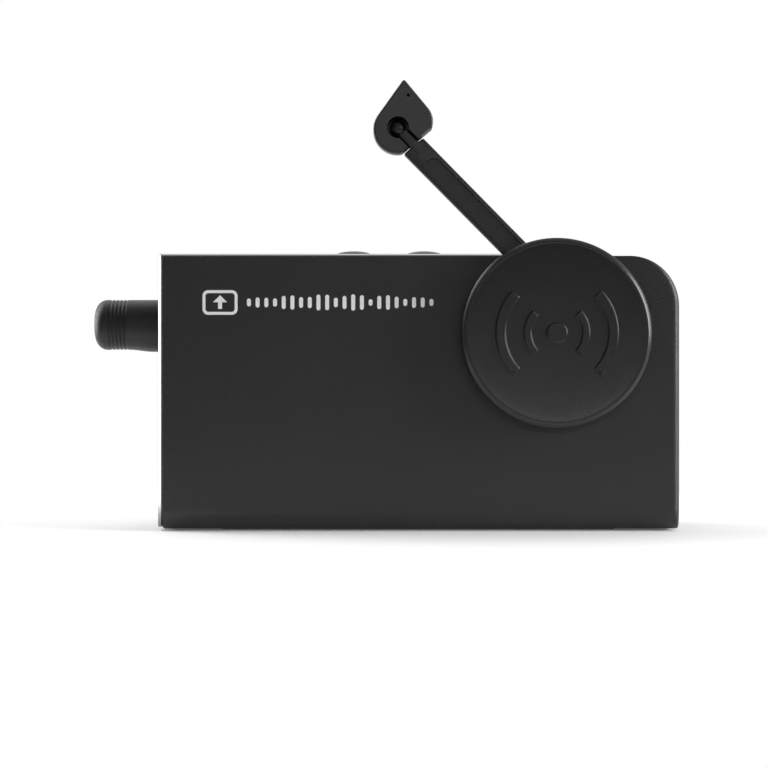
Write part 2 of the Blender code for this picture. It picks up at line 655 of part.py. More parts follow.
def main_board(board_green, black, steel):
    """The main board with its chips, capacitor and plug."""
    board = piece("circuit_board", board_green,
                  block(BOARD, (BOARD_FRONT, BOARD_BACK), BOARD_Z), smooth=False)
    carve(board, *[rod(0.9 + SEAT, "Y", centre, 0.0, 9.0, 12) for centre in board_screws()])
    for number, centre in enumerate(board_screws(), 1):
        screw(f"board_screw_{number}", steel, centre, BOARD_FRONT - SEAT, 0.9, REAR - 4.0, 1.6)
    front = BOARD_FRONT - SEAT
    piece("control_chip", black, block((SOCKET_X - 4.5, SOCKET_X + 4.5), (front - 1.2, front),
                                       (BOARD_Z[0] + 20.0, BOARD_Z[0] + 29.0)), smooth=False)
    piece("driver_chip", black, block((SOCKET_X - 5.0, SOCKET_X + 1.0), (front - 1.2, front),
                                      (BOARD_Z[0] + 12.0, BOARD_Z[0] + 16.0)), smooth=False)
    piece("storage_capacitor", black, rod(3.2, "Y", (SOCKET_X + 6.0, BOARD_Z[0] + 13.5),
                                          front - 8.0, front, 20))


def cable_socket(black, gold):
    """The modular socket for the lead to the headset's base, and its contacts."""
    half, rise = SOCKET_SIZE[0] / 2, SOCKET_SIZE[1] / 2
    socket = piece("cable_socket", black,
                   block((SOCKET_X - half, SOCKET_X + half), (BOARD_BACK + REST, REAR - 0.2),
                         (SOCKET_Z - rise, SOCKET_Z + rise)), smooth=False)
    carve(socket, block((SOCKET_X - half + 1.6, SOCKET_X + half - 1.6),
                        (BOARD_BACK + 2.0, REAR + 1), (SOCKET_Z - rise + 2.8, SOCKET_Z + rise - 1.2)))
    low = SOCKET_Z - rise + 2.8 + SEAT
    contacts = piece("socket_contacts", gold,
                     block((SOCKET_X - 3.3, SOCKET_X + 3.3), (BOARD_BACK + 2.4, BOARD_BACK + 3.0),
                           (low, low + 1.0)), smooth=False)
    weld(contacts, *[block((SOCKET_X + x - 0.25, SOCKET_X + x + 0.25),
                           (BOARD_BACK + 2.7, BOARD_BACK + 7.0), (low, low + 0.5))
                     for x in (-3.0, -1.0, 1.0, 3.0)])
    return socket


def buttons(black, board_green):
    """Two domed buttons, their switches and the board under them."""
    board = (SHELF_TOP + REST, SHELF_TOP + REST + 1.2)
    piece("button_board", board_green,
          block((SHELF[0] + 0.1, SHELF[1]), (-6.0, 12.0), board), smooth=False)
    flange_top = CEILING - REST
    stem_end = flange_top - 1.9
    for side, x in zip(("left", "right"), BUTTON_X):
        dome_low = TOP + BUTTON_RISE - BUTTON_DOME
        dome = [(BUTTON_RADIUS * math.sin(turn), dome_low + BUTTON_DOME * math.cos(turn))
                for turn in (math.pi / 2 * k / 4 for k in range(4, 0, -1))]
        profile = [(0.0, stem_end), (1.5, stem_end), (1.5, flange_top - 0.7),
                   (BUTTON_RADIUS + 0.7, flange_top - 0.7), (BUTTON_RADIUS + 0.7, flange_top),
                   (BUTTON_RADIUS, flange_top)] + dome + [(0.0, dome_low + BUTTON_DOME)]
        piece(f"button_{side}", black, turned(profile, "Z", (x, 0.0), 24),
              pivot=(x, 0.0, TOP))
        body = (board[1] + SEAT, stem_end - BUTTON_TRAVEL - 0.7)
        switch = piece(f"button_switch_{side}", black,
                       block((x - 3.0, x + 3.0), (-3.0, 3.0), body), smooth=False)
        weld(switch, rod(1.5, "Z", (x, 0.0), body[1] - 0.5, stem_end - BUTTON_TRAVEL - 0.15, 16))


# ---- Turret, arm and microphone ---------------------------------------------------
def turret_bush(plastic):
    """The bush pressed into the front cover, with its collar inside."""
    inner = STEM_RADIUS + RUN
    collar = FRONT + WALL + REST
    return piece("turret_bush", plastic,
                 turned(((inner, FRONT + 0.1), (BUSH_RADIUS, FRONT + 0.1), (BUSH_RADIUS, collar),
                         (BUSH_RADIUS + 2.0, collar), (BUSH_RADIUS + 2.0, collar + 1.0),
                         (BUSH_RADIUS, collar + 3.4), (inner, collar + 3.4)), "Y", TURRET, 32))


def stem_fittings(steel):
    """The wave washer and the clip that hold the arm's stem in the bush."""
    washer = FRONT + WALL + REST + 3.7
    inner = STEM_RADIUS + RUN
    piece("wave_washer", steel, tube(inner, 5.8, "Y", TURRET, washer, washer + 0.5, 24))
    groove = washer + 0.8
    clip = piece("retaining_clip", steel,
                 tube(3.6, 5.6, "Y", TURRET, groove, groove + 0.6, 24),
                 pivot=place("Y", 0.0, *TURRET))
    carve(clip, block((TURRET[0] - 1.8, TURRET[0] + 1.8), (groove - 1, groove + 2),
                      (TURRET[1] - 8.0, TURRET[1])))
    return groove


def mic_arm(plastic, groove):
    """The arm with its hub, hollow stem, face channel, lead channel, neck and ball."""
    end = groove + 1.4
    pivot = place("Y", 0.0, *TURRET)
    arm = piece("mic_arm", plastic,
                turned(((0.0, HUB_FRONT), (HUB_RADIUS, HUB_FRONT), (HUB_RADIUS, HUB_BACK),
                        (STEM_RADIUS, HUB_BACK), (STEM_RADIUS, groove - 0.1), (3.4, groove - 0.1),
                        (3.4, groove + 0.7), (STEM_RADIUS, groove + 0.7), (STEM_RADIUS, end),
                        (0.0, end)), "Y", TURRET, 32), pivot=pivot)
    half = ARM_WIDTH / 2
    skew = half * math.tan(HEEL_SLANT)
    blade = prism(((3.0, ARM_OFFSET - half + 0.1), (ARM_REACH + skew, ARM_OFFSET - half),
                   (ARM_REACH - skew, ARM_OFFSET + half), (3.0, ARM_OFFSET + half - 0.1)),
                  "Y", HUB_FRONT + 0.02, HUB_BACK - 0.02)
    weld(arm, moved(blade, along_arm))
    middle = POD_PARTING
    neck = block((ARM_REACH - 1.5, HEAD_REACH), (middle - 0.75, middle + 0.75),
                 (HEAD_OFFSET - NECK_HALF, HEAD_OFFSET + NECK_HALF))
    weld(arm, moved(neck, along_arm))
    ball = [(0.0, middle - HEAD_RADIUS)]
    ball += [(HEAD_RADIUS * math.sin(math.pi * k / 8), middle - HEAD_RADIUS * math.cos(math.pi * k / 8))
             for k in range(1, 8)]
    ball.append((0.0, middle + HEAD_RADIUS))
    head = along_arm(HEAD_REACH, middle, HEAD_OFFSET)
    weld(arm, turned(ball, "Y", (head[0], head[2]), 20))
    channel = [step_round((CHANNEL_END, ARM_OFFSET + 0.25), math.pi * (k / 8 - 0.5), 1.45)
               for k in range(9)]
    channel += [(8.0, ARM_OFFSET + 1.7), (8.0, ARM_OFFSET - 1.2)]
    carve(arm, moved(prism(channel, "Y", HUB_FRONT - 1, HUB_FRONT + 0.6), along_arm))
    depth = HUB_BACK - 2 * LEAD_RADIUS - 0.25
    groove_half = LEAD_RADIUS + RUN
    run = block((7.0, ARM_REACH + 1), (depth, HUB_BACK + 0.02),
                (ARM_OFFSET - groove_half, ARM_OFFSET + groove_half))
    bend = prism(((-0.8, -0.8), (0.8, -0.8), (8.4, ARM_OFFSET - groove_half),
                  (8.4, ARM_OFFSET + groove_half), (6.6, ARM_OFFSET + groove_half), (-0.8, 0.8)),
                 "Y", depth, HUB_BACK + 0.02)
    carve(arm, moved(run, along_arm))
    carve(arm, moved(bend, along_arm))
    carve(arm, rod(1.5, "Y", TURRET, depth, end + 1, 16))
    return arm


def turret_cap(plastic):
    """The round disc in front of the hub, dished, with a bevelled rim."""
    dish = [(CAP_RADIUS - CAP_BEVEL - 0.4, CAP_FRONT)]
    for k in range(1, 5):
        share = 1 - k / 4
        dish.append(((CAP_RADIUS - CAP_BEVEL - 0.4) * share,
                     CAP_FRONT + CAP_DISH * (1 - share * share)))
    profile = [(0.0, CAP_BACK), (CAP_RADIUS - 0.4, CAP_BACK), (CAP_RADIUS, CAP_BACK - 0.4),
               (CAP_RADIUS, CAP_FRONT + CAP_BEVEL)] + dish
    return piece("turret_cap", plastic, turned(profile, "Y", TURRET, 48),
                 pivot=place("Y", 0.0, *TURRET))


def smooth_route(knots, points):
    """A smooth open curve through the knots, as evenly many points per stretch."""
    padded = [knots[0]] + list(knots) + [knots[-1]]
    route = []
    for a, b, c, d in zip(padded, padded[1:], padded[2:], padded[3:]):
        for k in range(points):
            t = k / points
            route.append(tuple(0.5 * (2 * q + (r - p) * t + (2 * p - 5 * q + 4 * r - s) * t * t
                                      + (3 * q - p - 3 * r + s) * t ** 3)
                               for p, q, r, s in zip(a, b, c, d)))
    return route + [tuple(knots[-1])]


def lead(name, rubber, route, pivot):
    """A thin round lead along a route."""
    curve = bpy.data.curves.new(name, "CURVE")
    curve.dimensions = "3D"
    curve.bevel_depth = LEAD_RADIUS * MM
    curve.bevel_resolution = 2
    curve.use_fill_caps = True
    spline = curve.splines.new("POLY")
    spline.points.add(len(route) - 1)
    for point, position in zip(spline.points, route):
        point.co = (*[(a - b) * MM for a, b in zip(position, pivot)], 1.0)
    curve.materials.append(rubber)
    made = bpy.data.objects.new(name, curve)
    made.location = tuple(value * MM for value in pivot)
    bpy.context.scene.collection.objects.link(made)
    return made


def leads(rubber, black, groove):
    """The lead in the arm and its stem, and the loose stretch to the board's plug."""
    y = HUB_BACK - LEAD_RADIUS - 0.1
    knots = [along_arm(ARM_REACH - 0.4, y, ARM_OFFSET), along_arm(30.0, y, ARM_OFFSET),
             along_arm(10.0, y, ARM_OFFSET), along_arm(5.4, y, ARM_OFFSET * 0.66),
             along_arm(2.0, y, ARM_OFFSET * 0.25), along_arm(0.25, y + 0.9, 0.0),
             along_arm(0.0, y + 2.4, 0.0), along_arm(0.0, groove + 1.4, 0.0)]
    lead("mic_lead", rubber, smooth_route(knots, 4), place("Y", 0.0, *TURRET))
    x, z = SOCKET_X, BOARD_Z[1] - 4.0
    start = groove + 1.8
    lead("inner_lead", rubber,
         smooth_route([(TURRET[0], start, TURRET[1]), (TURRET[0], start + 3.0, TURRET[1]),
                       (x - 1.0, -2.0, z - 2.0), (x, -1.2, z)], 4), (0.0, 0.0, 0.0))
    piece("lead_plug", black, block((x - 3.0, x + 3.0), (-1.2 + REST + LEAD_RADIUS,
                                                         BOARD_FRONT - SEAT),
                                    (z - 1.8, z + 1.8)), smooth=False)


def pod_outline(inset=0.0, steps=10):
    """The teardrop: a band drawn tight round three circles, pulled in by an inset."""
    head = along_arm(HEAD_REACH, 0.0, HEAD_OFFSET)
    circles = [((head[0] + x, head[2] + z), radius - inset) for (x, z), radius in POD_CIRCLES]
    facing = []
    for (here, size), (there, other) in zip(circles, circles[1:] + circles[:1]):
        away = math.atan2(there[1] - here[1], there[0] - here[0])
        reach = math.hypot(there[0] - here[0], there[1] - here[1])
        facing.append(away - math.acos((size - other) / reach))
    points = []
    for k, (middle, radius) in enumerate(circles):
        start = facing[k - 1]
        sweep = (facing[k] - start) % (2 * math.pi)
        points += [step_round(middle, start + sweep * n / steps, radius)
                   for n in range(steps + 1)]
    return points


def heel_cut():
    """Everything beyond the pod's rounded heel, on the arm's side of the pivot."""
    middle = POD_PARTING
    arc = [(-POD_HEEL * math.cos(turn), middle + POD_HEEL * math.sin(turn))
           for turn in (math.radians(-42 + 84 * k / 8) for k in range(9))]
    outline = arc + [(-3.0, middle + 6.0), (-12.0, middle + 6.0), (-12.0, middle - 6.0),
                     (-3.0, middle - 6.0)]
    cos, sin = math.cos(HEEL_SLANT), math.sin(HEEL_SLANT)
    rings = [[(HEAD_REACH + reach * cos - side * sin, y, HEAD_OFFSET + reach * sin + side * cos)
              for reach, y in outline] for side in (-12.0, 12.0)]
    return moved(loft(rings), along_arm)


def mic_pod(plastic, steel):
    """The two halves of the pod, the capsule in it and the screen over its port."""
    head = along_arm(HEAD_REACH, POD_PARTING, HEAD_OFFSET)
    pivot = (head[0], head[2])
    capsule = (head[0] + POD_CAPSULE[0], head[2] + POD_CAPSULE[1])
    port = (head[0] + POD_PORT[0], head[2] + POD_PORT[1])
    split, bevel = SEAT / 2, 0.35
    slot_back = POD_PARTING + 0.75 + RUN
    # name, face, parting side, bevel's way in, recess, slot and capsule bore, as depths
    halves = (("pod_front", POD_FRONT_FACE, POD_PARTING - split, bevel,
               (POD_FRONT_FACE - 1.0, POD_PARTING + 1.0), (POD_FRONT_FACE - 1.0, POD_PARTING + 1.0),
               (POD_FRONT_FACE + 0.8, POD_PARTING + 1.0)),
              ("pod_back", POD_BACK_FACE, POD_PARTING + split, -bevel,
               (POD_PARTING - 1.0, POD_BACK_FACE - 0.25), (POD_PARTING - 1.0, slot_back),
               (POD_PARTING - 1.0, POD_BACK_FACE - 0.5)))
    for name, face, inner, edge, recess, slot, bore in halves:
        rings = [[place("Y", y, *point) for point in pod_outline(inset)]
                 for y, inset in ((face, bevel), (face + edge, 0.0), (inner, 0.0))]
        half = piece(name, plastic, loft(rings), pivot=head)
        carve(half, heel_cut())
        carve(half, rod(HEAD_RADIUS + HEAD_RING, "Y", pivot, *recess, 24))
        walls = (HEAD_OFFSET - NECK_HALF - RUN, HEAD_OFFSET + NECK_HALF + RUN)
        carve(half, moved(block((HEAD_REACH - 8.0, HEAD_REACH), slot, walls), along_arm))
        carve(half, rod(2.2, "Y", capsule, *bore, 16))
        if name == "pod_front":
            carve(half, rod(0.35, "Y", port, POD_FRONT_FACE - 1, POD_FRONT_FACE + 1, 12))
    piece("mic_capsule", steel, rod(2.0, "Y", capsule, POD_PARTING - 0.8, POD_BACK_FACE - 0.7, 16),
          pivot=head)
    piece("port_screen", steel, rod(2.05, "Y", capsule, POD_FRONT_FACE + 0.9,
                                    POD_FRONT_FACE + 1.1, 16), pivot=head)


def main():
    """Clear the scene and make every piece."""
    for old in list(bpy.data.objects):
        bpy.data.objects.remove(old, do_unlink=True)
    black = finish("black_textured_plastic", (0.018, 0.018, 0.019), 0.5)
    gloss = finish("gloss_trim", (0.05, 0.05, 0.055), 0.08)
    rubber = finish("black_rubber", (0.014, 0.014, 0.015), 0.7)
    gear_plastic = finish("white_acetal", (0.75, 0.74, 0.7), 0.45)
    steel = finish("steel", (0.6, 0.6, 0.61), 0.3, 1.0)
    gold = finish("gold_plate", (0.85, 0.62, 0.25), 0.25, 1.0)
    green = finish("circuit_board_green", (0.02, 0.16, 0.07), 0.4)
    component = finish("component_black", (0.02, 0.02, 0.02), 0.4)
    front_cover(black)
    rear_housing(black)
    end_trim(gloss)
    base_pad(rubber)
    case_screws(steel)
    lift_sleeve(rubber)
    lift_rod(steel)
    lift_carriage(gear_plastic)
    lift_rack(gear_plastic)
    guide_rods(steel)
    gear_train(gear_plastic, steel)
    motor_can(steel)
    gear_frame(steel)
    limit_switches(green, component)
    main_board(green, component, steel)
    cable_socket(component, gold)
    buttons(black, green)
    turret_bush(gear_plastic)
    groove = stem_fittings(steel)
    mic_arm(black, groove)
    turret_cap(black)
    leads(rubber, component, groove)
    mic_pod(black, steel)


main()
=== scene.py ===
"""Looks of a telephone handset lifter: fine surfaces, finishes, floor, light and camera."""
import json
import math

import bmesh
import bpy
import numpy as np
from bpy.props import FloatProperty, FloatVectorProperty, IntProperty, PointerProperty
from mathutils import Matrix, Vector


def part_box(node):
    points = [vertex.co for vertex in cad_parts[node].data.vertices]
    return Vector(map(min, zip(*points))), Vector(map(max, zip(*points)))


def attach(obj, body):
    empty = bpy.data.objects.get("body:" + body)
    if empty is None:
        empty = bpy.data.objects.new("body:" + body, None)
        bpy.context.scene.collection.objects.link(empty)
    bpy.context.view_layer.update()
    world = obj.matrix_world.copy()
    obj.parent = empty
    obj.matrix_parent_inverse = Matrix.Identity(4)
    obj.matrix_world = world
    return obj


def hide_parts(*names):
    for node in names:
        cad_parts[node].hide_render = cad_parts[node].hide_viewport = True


bl_info = {
    "name": "Handset Lifter Looks",
    "version": (1, 0, 0),
    "blender": (4, 5, 0),
    "location": "View3D > Sidebar > Lifter",
    "description": "Surfaces, finishes and studio for a telephone handset lifter",
    "category": "Object",
}

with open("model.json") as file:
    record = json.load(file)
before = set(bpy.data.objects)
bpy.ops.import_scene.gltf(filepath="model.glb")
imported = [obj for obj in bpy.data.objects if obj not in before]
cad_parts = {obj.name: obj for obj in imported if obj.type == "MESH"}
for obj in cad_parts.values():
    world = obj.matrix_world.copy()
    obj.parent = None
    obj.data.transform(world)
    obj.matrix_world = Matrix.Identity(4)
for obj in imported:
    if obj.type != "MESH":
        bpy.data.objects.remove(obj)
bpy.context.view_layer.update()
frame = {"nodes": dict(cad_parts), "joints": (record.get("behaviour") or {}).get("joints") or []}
MM = 0.001
QUARTER = math.pi / 2


def corners(node):
    """A node's lowest and highest corners in millimetres."""
    low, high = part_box(node)
    return np.array(low) / MM, np.array(high) / MM


COVER_LOW, COVER_HIGH = corners("front_cover")
HOUSING_LOW, HOUSING_HIGH = corners("rear_housing")
TRIM_LOW, TRIM_HIGH = corners("end_trim")
CAP_LOW, CAP_HIGH = corners("turret_cap")
SLEEVE_LOW, SLEEVE_HIGH = corners("lift_sleeve")
POD_LOW, POD_HIGH = corners("pod_front")
FRONT = COVER_LOW[1]
LEFT, RIGHT = TRIM_LOW[0], COVER_HIGH[0]
SHELL_LEFT, SHELL_TOP = COVER_LOW[0], COVER_HIGH[2]
BOTTOM, TOP = COVER_LOW[2], TRIM_HIGH[2]
BAR_Z = sum(corners("lift_rod")[i][2] for i in (0, 1)) / 2
TURRET = (CAP_LOW + CAP_HIGH) / 2
HINGE = {joint["name"]: joint for joint in frame["joints"]}
PIVOT = np.array(HINGE["pod_tilt"]["pos_m"]) / MM


# ---- Settings that a user would change ---------------------------------------------
class CaseSettings(bpy.types.PropertyGroup):
    """Case, trim and print."""
    roll: FloatProperty(name="Rolled edge", default=4.2, description="Lower front edge, mm")
    right_roll: FloatProperty(name="Right edge", default=1.6, description="Right front edge, mm")
    crisp_edge: FloatProperty(name="Crisp edge", default=0.3, description="Left and top, mm")
    big_corner: FloatProperty(name="Big corner", default=10.6, description="Radius, mm")
    wall: FloatProperty(name="Wall", default=1.7, description="Case wall, mm")
    colour: FloatVectorProperty(name="Case", subtype="COLOR", default=(0.013, 0.013, 0.0145),
                                description="Moulded case colour")
    print_colour: FloatVectorProperty(name="Print", subtype="COLOR", default=(0.94, 0.945, 0.95),
                                      description="Ink of the printed symbols")
    grain: FloatProperty(name="Grain", default=0.42, description="Grain size, mm")


class DiscSettings(bpy.types.PropertyGroup):
    """The round disc."""
    dish: FloatProperty(name="Dish", default=0.8, description="Depth of the hollow face, mm")
    bevel: FloatProperty(name="Bevel", default=0.8, description="Width of the rim's bevel, mm")
    relief: FloatProperty(name="Relief", default=0.42, description="Height of the artwork, mm")


class BarSettings(bpy.types.PropertyGroup):
    """The lift bar's rubber sleeve."""
    ribs: IntProperty(name="Ribs", default=5, description="Grip ribs on the sleeve")
    rib_pitch: FloatProperty(name="Rib pitch", default=0.827, description="Spacing, mm")
    rib_depth: FloatProperty(name="Rib depth", default=0.15, description="Groove depth, mm")


class StudioSettings(bpy.types.PropertyGroup):
    """Camera and light."""
    distance: FloatProperty(name="Camera distance", default=0.42, unit="LENGTH",
                            description="From the case's face")
    lens: FloatProperty(name="Lens", default=93.3, description="Focal length, mm")
    height: FloatProperty(name="Camera height", default=0.0311, unit="LENGTH",
                          description="Above the desk")


def settings(name):
    """One of the settings groups of the scene."""
    return getattr(bpy.context.scene, name)


# ---- Surfaces worked out as arrays --------------------------------------------------
def mesh_from(name, points, faces):
    """A mesh from points in millimetres and faces, its normals made to point out."""
    mesh = bpy.data.meshes.new(name)
    mesh.from_pydata(np.asarray(points, float) * MM, [], faces)
    shape = bmesh.new()
    shape.from_mesh(mesh)
    bmesh.ops.remove_doubles(shape, verts=shape.verts, dist=1e-7)
    bmesh.ops.recalc_face_normals(shape, faces=shape.faces)
    shape.to_mesh(mesh)
    shape.free()
    return mesh


def quads(rows, columns, closed):
    """Faces of a grid whose rows are rings; closed joins the last ring to the first."""
    row = np.arange(rows if closed else rows - 1)[:, None]
    column = np.arange(columns)[None, :]
    after, below = (column + 1) % columns, (row + 1) % rows
    faces = np.stack([row * columns + column, row * columns + after,
                      below * columns + after, below * columns + column], axis=-1)
    return faces.reshape(-1, 4).tolist()


def skin(name, rings, closed=False):
    """A body from an array of rings (rows, columns, 3), joined in order. Its two ends
    are capped, unless it is closed into a loop."""
    rows, columns = rings.shape[:2]
    faces = quads(rows, columns, closed)
    if not closed:
        faces += [list(range(columns)), list(range((rows - 1) * columns, rows * columns))]
    return mesh_from(name, rings.reshape(-1, 3), faces)


def lathe(name, profile, axis, centre, steps=96):
    """A closed profile of (radius, along) pairs turned about an axis through a centre:
    each point runs round a circle of its radius."""
    profile = np.asarray(profile, float)
    turn = np.linspace(0, 2 * math.pi, steps, endpoint=False)
    radius, along = profile[:, :1], profile[:, 1:]
    first, second = radius * np.cos(turn) + centre[0], radius * np.sin(turn) + centre[1]
    layers = [first, second]
    layers.insert("XYZ".index(axis), np.broadcast_to(along, first.shape))
    return skin(name, np.stack(layers, axis=-1), closed=bool(profile[0][0]))


def arc(centre, radius, start, end, steps):
    """Points on part of an ellipse, as (steps, 2); radius may be a pair."""
    across, upward = radius if isinstance(radius, tuple) else (radius, radius)
    turn = np.linspace(start, end, steps)
    return np.stack([centre[0] + across * np.cos(turn), centre[1] + upward * np.sin(turn)], -1)


def upright(outline, levels, insets=None):
    """Rings of an (x, z) outline at several depths y. Each ring's points may be pulled
    towards a middle by an inset along their own outward normals."""
    outline = np.asarray(outline, float)
    tangent = np.roll(outline, -1, 0) - np.roll(outline, 1, 0)
    normal = np.stack([tangent[:, 1], -tangent[:, 0]], -1)
    normal /= np.linalg.norm(normal, axis=1, keepdims=True)
    rings = []
    for level, inset in zip(levels, insets if insets is not None else [0.0] * len(levels)):
        flat = outline - normal * inset
        rings.append(np.stack([flat[:, 0], np.full(len(flat), level), flat[:, 1]], -1))
    return np.array(rings)


def object_of(mesh):
    """An object that shows a mesh, at the origin."""
    made = bpy.data.objects.new(mesh.name, mesh)
    bpy.context.scene.collection.objects.link(made)
    return made


def combine(operation, mesh, tools):
    """A mesh joined with, or cut by, closed meshes, one after another."""
    base = object_of(mesh)
    for tool in tools:
        other = object_of(tool)
        modifier = base.modifiers.new("Shape", "BOOLEAN")
        modifier.operation, modifier.object, modifier.solver = operation, other, "EXACT"
        result = bpy.data.meshes.new_from_object(
            base.evaluated_get(bpy.context.evaluated_depsgraph_get()))
        base.modifiers.clear()
        base.data = result
        bpy.data.objects.remove(other, do_unlink=True)
    result = base.data
    bpy.data.objects.remove(base, do_unlink=True)
    result.name = mesh.name
    return result


def show(mesh, body, material, *nodes, slot=None, crease=32):
    """Make a finished piece: it rides on a body and stands for CAD nodes."""
    mesh.materials.clear()
    mesh.materials.append(material)
    mesh.shade_smooth()
    mesh.set_sharp_from_angle(angle=math.radians(crease))
    made = object_of(mesh)
    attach(made, body)
    if nodes:
        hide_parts(*nodes)
    return made


def polished(node, body, material, slot, crease=32):
    """A merged, smoothly shaded copy of a CAD node that stands for it."""
    shape = bmesh.new()
    shape.from_mesh(frame["nodes"][node].data)
    bmesh.ops.remove_doubles(shape, verts=shape.verts, dist=1e-6)
    bmesh.ops.dissolve_limit(shape, angle_limit=math.radians(0.5), verts=shape.verts,
                             edges=shape.edges)
    mesh = bpy.data.meshes.new(f"{node}_finished")
    shape.to_mesh(mesh)
    shape.free()
    return show(mesh, body, material, node, slot=slot, crease=crease)


# ---- Finishes -------------------------------------------------------------------------
class Wire:
    """A socket of a finish. Arithmetic on wires and numbers adds Math nodes."""

    def __init__(self, finish, socket):
        self.finish, self.socket = finish, socket

    def join(self, operation, *values):
        return self.finish.node("ShaderNodeMath", {"operation": operation}, *values)

    def __add__(self, other):
        return self.join("ADD", self, other)

    def __sub__(self, other):
        return self.join("SUBTRACT", self, other)

    def __rsub__(self, other):
        return self.join("SUBTRACT", other, self)

    def __mul__(self, other):
        return self.join("MULTIPLY", self, other)

    __radd__, __rmul__ = __add__, __mul__


class Finish:
    """A material being wired up on Object coordinates."""

    def __init__(self, name, **values):
        self.material = bpy.data.materials.new(name)
        self.material.use_nodes = True
        self.tree = self.material.node_tree
        self.shader = self.tree.nodes["Principled BSDF"]
        coordinates = self.tree.nodes.new("ShaderNodeTexCoord")
        self.place = Wire(self, coordinates.outputs["Object"])
        for socket, value in values.items():
            self.shader.inputs[socket.replace("_", " ")].default_value = value

    def node(self, kind, options, *values, output=0, **named):
        """Any node: its options, its sockets by order or name, and the output wanted."""
        made = self.tree.nodes.new(kind)
        for option, value in options.items():
            setattr(made, option, value)
        for key, value in list(enumerate(values)) + list(named.items()):
            socket = made.inputs[key.replace("_", " ") if isinstance(key, str) else key]
            if isinstance(value, Wire):
                self.tree.links.new(value.socket, socket)
            else:
                socket.default_value = value
        return Wire(self, made.outputs[output])

    def noise(self, size, detail=2.0, roughness=0.5, place=None):
        """Cloudy noise from 0 to 1 with features of a size in millimetres."""
        return self.node("ShaderNodeTexNoise", {}, Vector=place or self.place,
                         Scale=1 / (size * MM), Detail=detail, Roughness=roughness)

    def cells(self, size, output="Distance", place=None, feature="F1"):
        """Cells of a size in millimetres."""
        return self.node("ShaderNodeTexVoronoi", {"feature": feature}, Vector=place or self.place,
                         Scale=1 / (size * MM), output=output)

    def stretched(self, x, y, z):
        """Coordinates scaled along each axis."""
        return self.node("ShaderNodeMapping", {}, Vector=self.place, Scale=(x, y, z))

    def axis(self, letter):
        """One coordinate, in metres."""
        return self.node("ShaderNodeSeparateXYZ", {}, self.place, output="XYZ".index(letter))

    def tint(self, factor, dark, light):
        """A colour between two, by a factor."""
        made = self.tree.nodes.new("ShaderNodeMix")
        made.data_type = "RGBA"
        self.tree.links.new(factor.socket, made.inputs["Factor"])
        made.inputs[6].default_value, made.inputs[7].default_value = (*dark, 1), (*light, 1)
        return Wire(self, made.outputs[2])

    def feed(self, **wires):
        """Link wires to the shader's sockets."""
        for socket, wire in wires.items():
            self.tree.links.new(wire.socket, self.shader.inputs[socket.replace("_", " ")])
        return self

    def bump(self, height, depth, strength=1.0):
        """Link a height, in units of depth millimetres, to the shader's normal."""
        return self.feed(Normal=self.node("ShaderNodeBump", {}, Strength=strength,
                                          Distance=depth * MM, Height=height))


def shade(colour, factor):
    """A colour made lighter or darker."""
    return tuple(min(1.0, part * factor) for part in colour)


def grained_plastic(name, colour, grain, depth, roughness, spread=0.08):
    """Moulded black plastic: rounded grains with fine pits, a slow drift in colour and
    small changes in gloss."""
    look = Finish(name, Specular_IOR_Level=0.5)
    grains = look.cells(grain)
    fine = look.noise(grain * 0.45, 4.0, 0.6)
    drift = look.noise(14.0, 3.0)
    look.feed(Base_Color=look.tint(drift * 0.7 + fine * 0.3, shade(colour, 0.72),
                                   shade(colour, 1.3)),
              Roughness=roughness - spread / 2 + fine * spread + drift * 0.04)
    return look.bump(grains * 0.55 + fine * 0.45, depth).material


def polished_trim():
    """Glossy black strip: faint cloudiness and hairline wipe marks along its length."""
    look = Finish("polished_trim", Specular_IOR_Level=0.7, Coat_Weight=1.0, Coat_Roughness=0.04)
    wipes = look.noise(1.2, 3.0, place=look.stretched(0.15, 0.15, 3.0))
    haze = look.noise(9.0, 3.0)
    look.feed(Base_Color=look.tint(haze, (0.03, 0.03, 0.033), (0.045, 0.045, 0.049)),
              Roughness=haze * 0.08 + wipes * 0.05 + 0.06)
    return look.bump(wipes, 0.004, 0.4).material


def moulded_rubber(name, colour, roughness):
    """Soft rubber: fine tooth and dusty patches, lighter and darker at random."""
    look = Finish(name, Specular_IOR_Level=0.42)
    tooth = look.noise(0.3, 4.0, 0.65)
    dust = look.noise(3.2, 4.0, 0.6)
    look.feed(Base_Color=look.tint(dust, shade(colour, 0.7), shade(colour, 1.5)),
              Roughness=dust * 0.14 + tooth * 0.08 + (roughness - 0.1))
    return look.bump(tooth, 0.05).material


def plated_steel(name, colour, roughness, stretch=(1.0, 0.06, 1.0)):
    """Drawn or turned steel: fine lines along the work and a soft cloudy tarnish."""
    look = Finish(name, Metallic=1.0)
    lines = look.noise(0.12, 2.0, place=look.stretched(*stretch))
    cloud = look.noise(5.0, 3.0)
    look.feed(Base_Color=look.tint(cloud * 0.7 + lines * 0.3, shade(colour, 0.82),
                                   shade(colour, 1.1)),
              Roughness=lines * 0.12 + cloud * 0.08 + roughness)
    return look.bump(lines, 0.004, 0.6).material


def natural_acetal():
    """Milky gear plastic: slight clouding and a fine machined tooth."""
    look = Finish("natural_acetal", Subsurface_Weight=0.12, Subsurface_Scale=0.0015)
    cloud = look.noise(4.0, 3.0)
    fine = look.noise(0.2, 3.0)
    look.feed(Base_Color=look.tint(cloud, (0.68, 0.67, 0.62), (0.82, 0.81, 0.77)),
              Roughness=cloud * 0.1 + fine * 0.1 + 0.34)
    return look.bump(fine, 0.008, 0.6).material


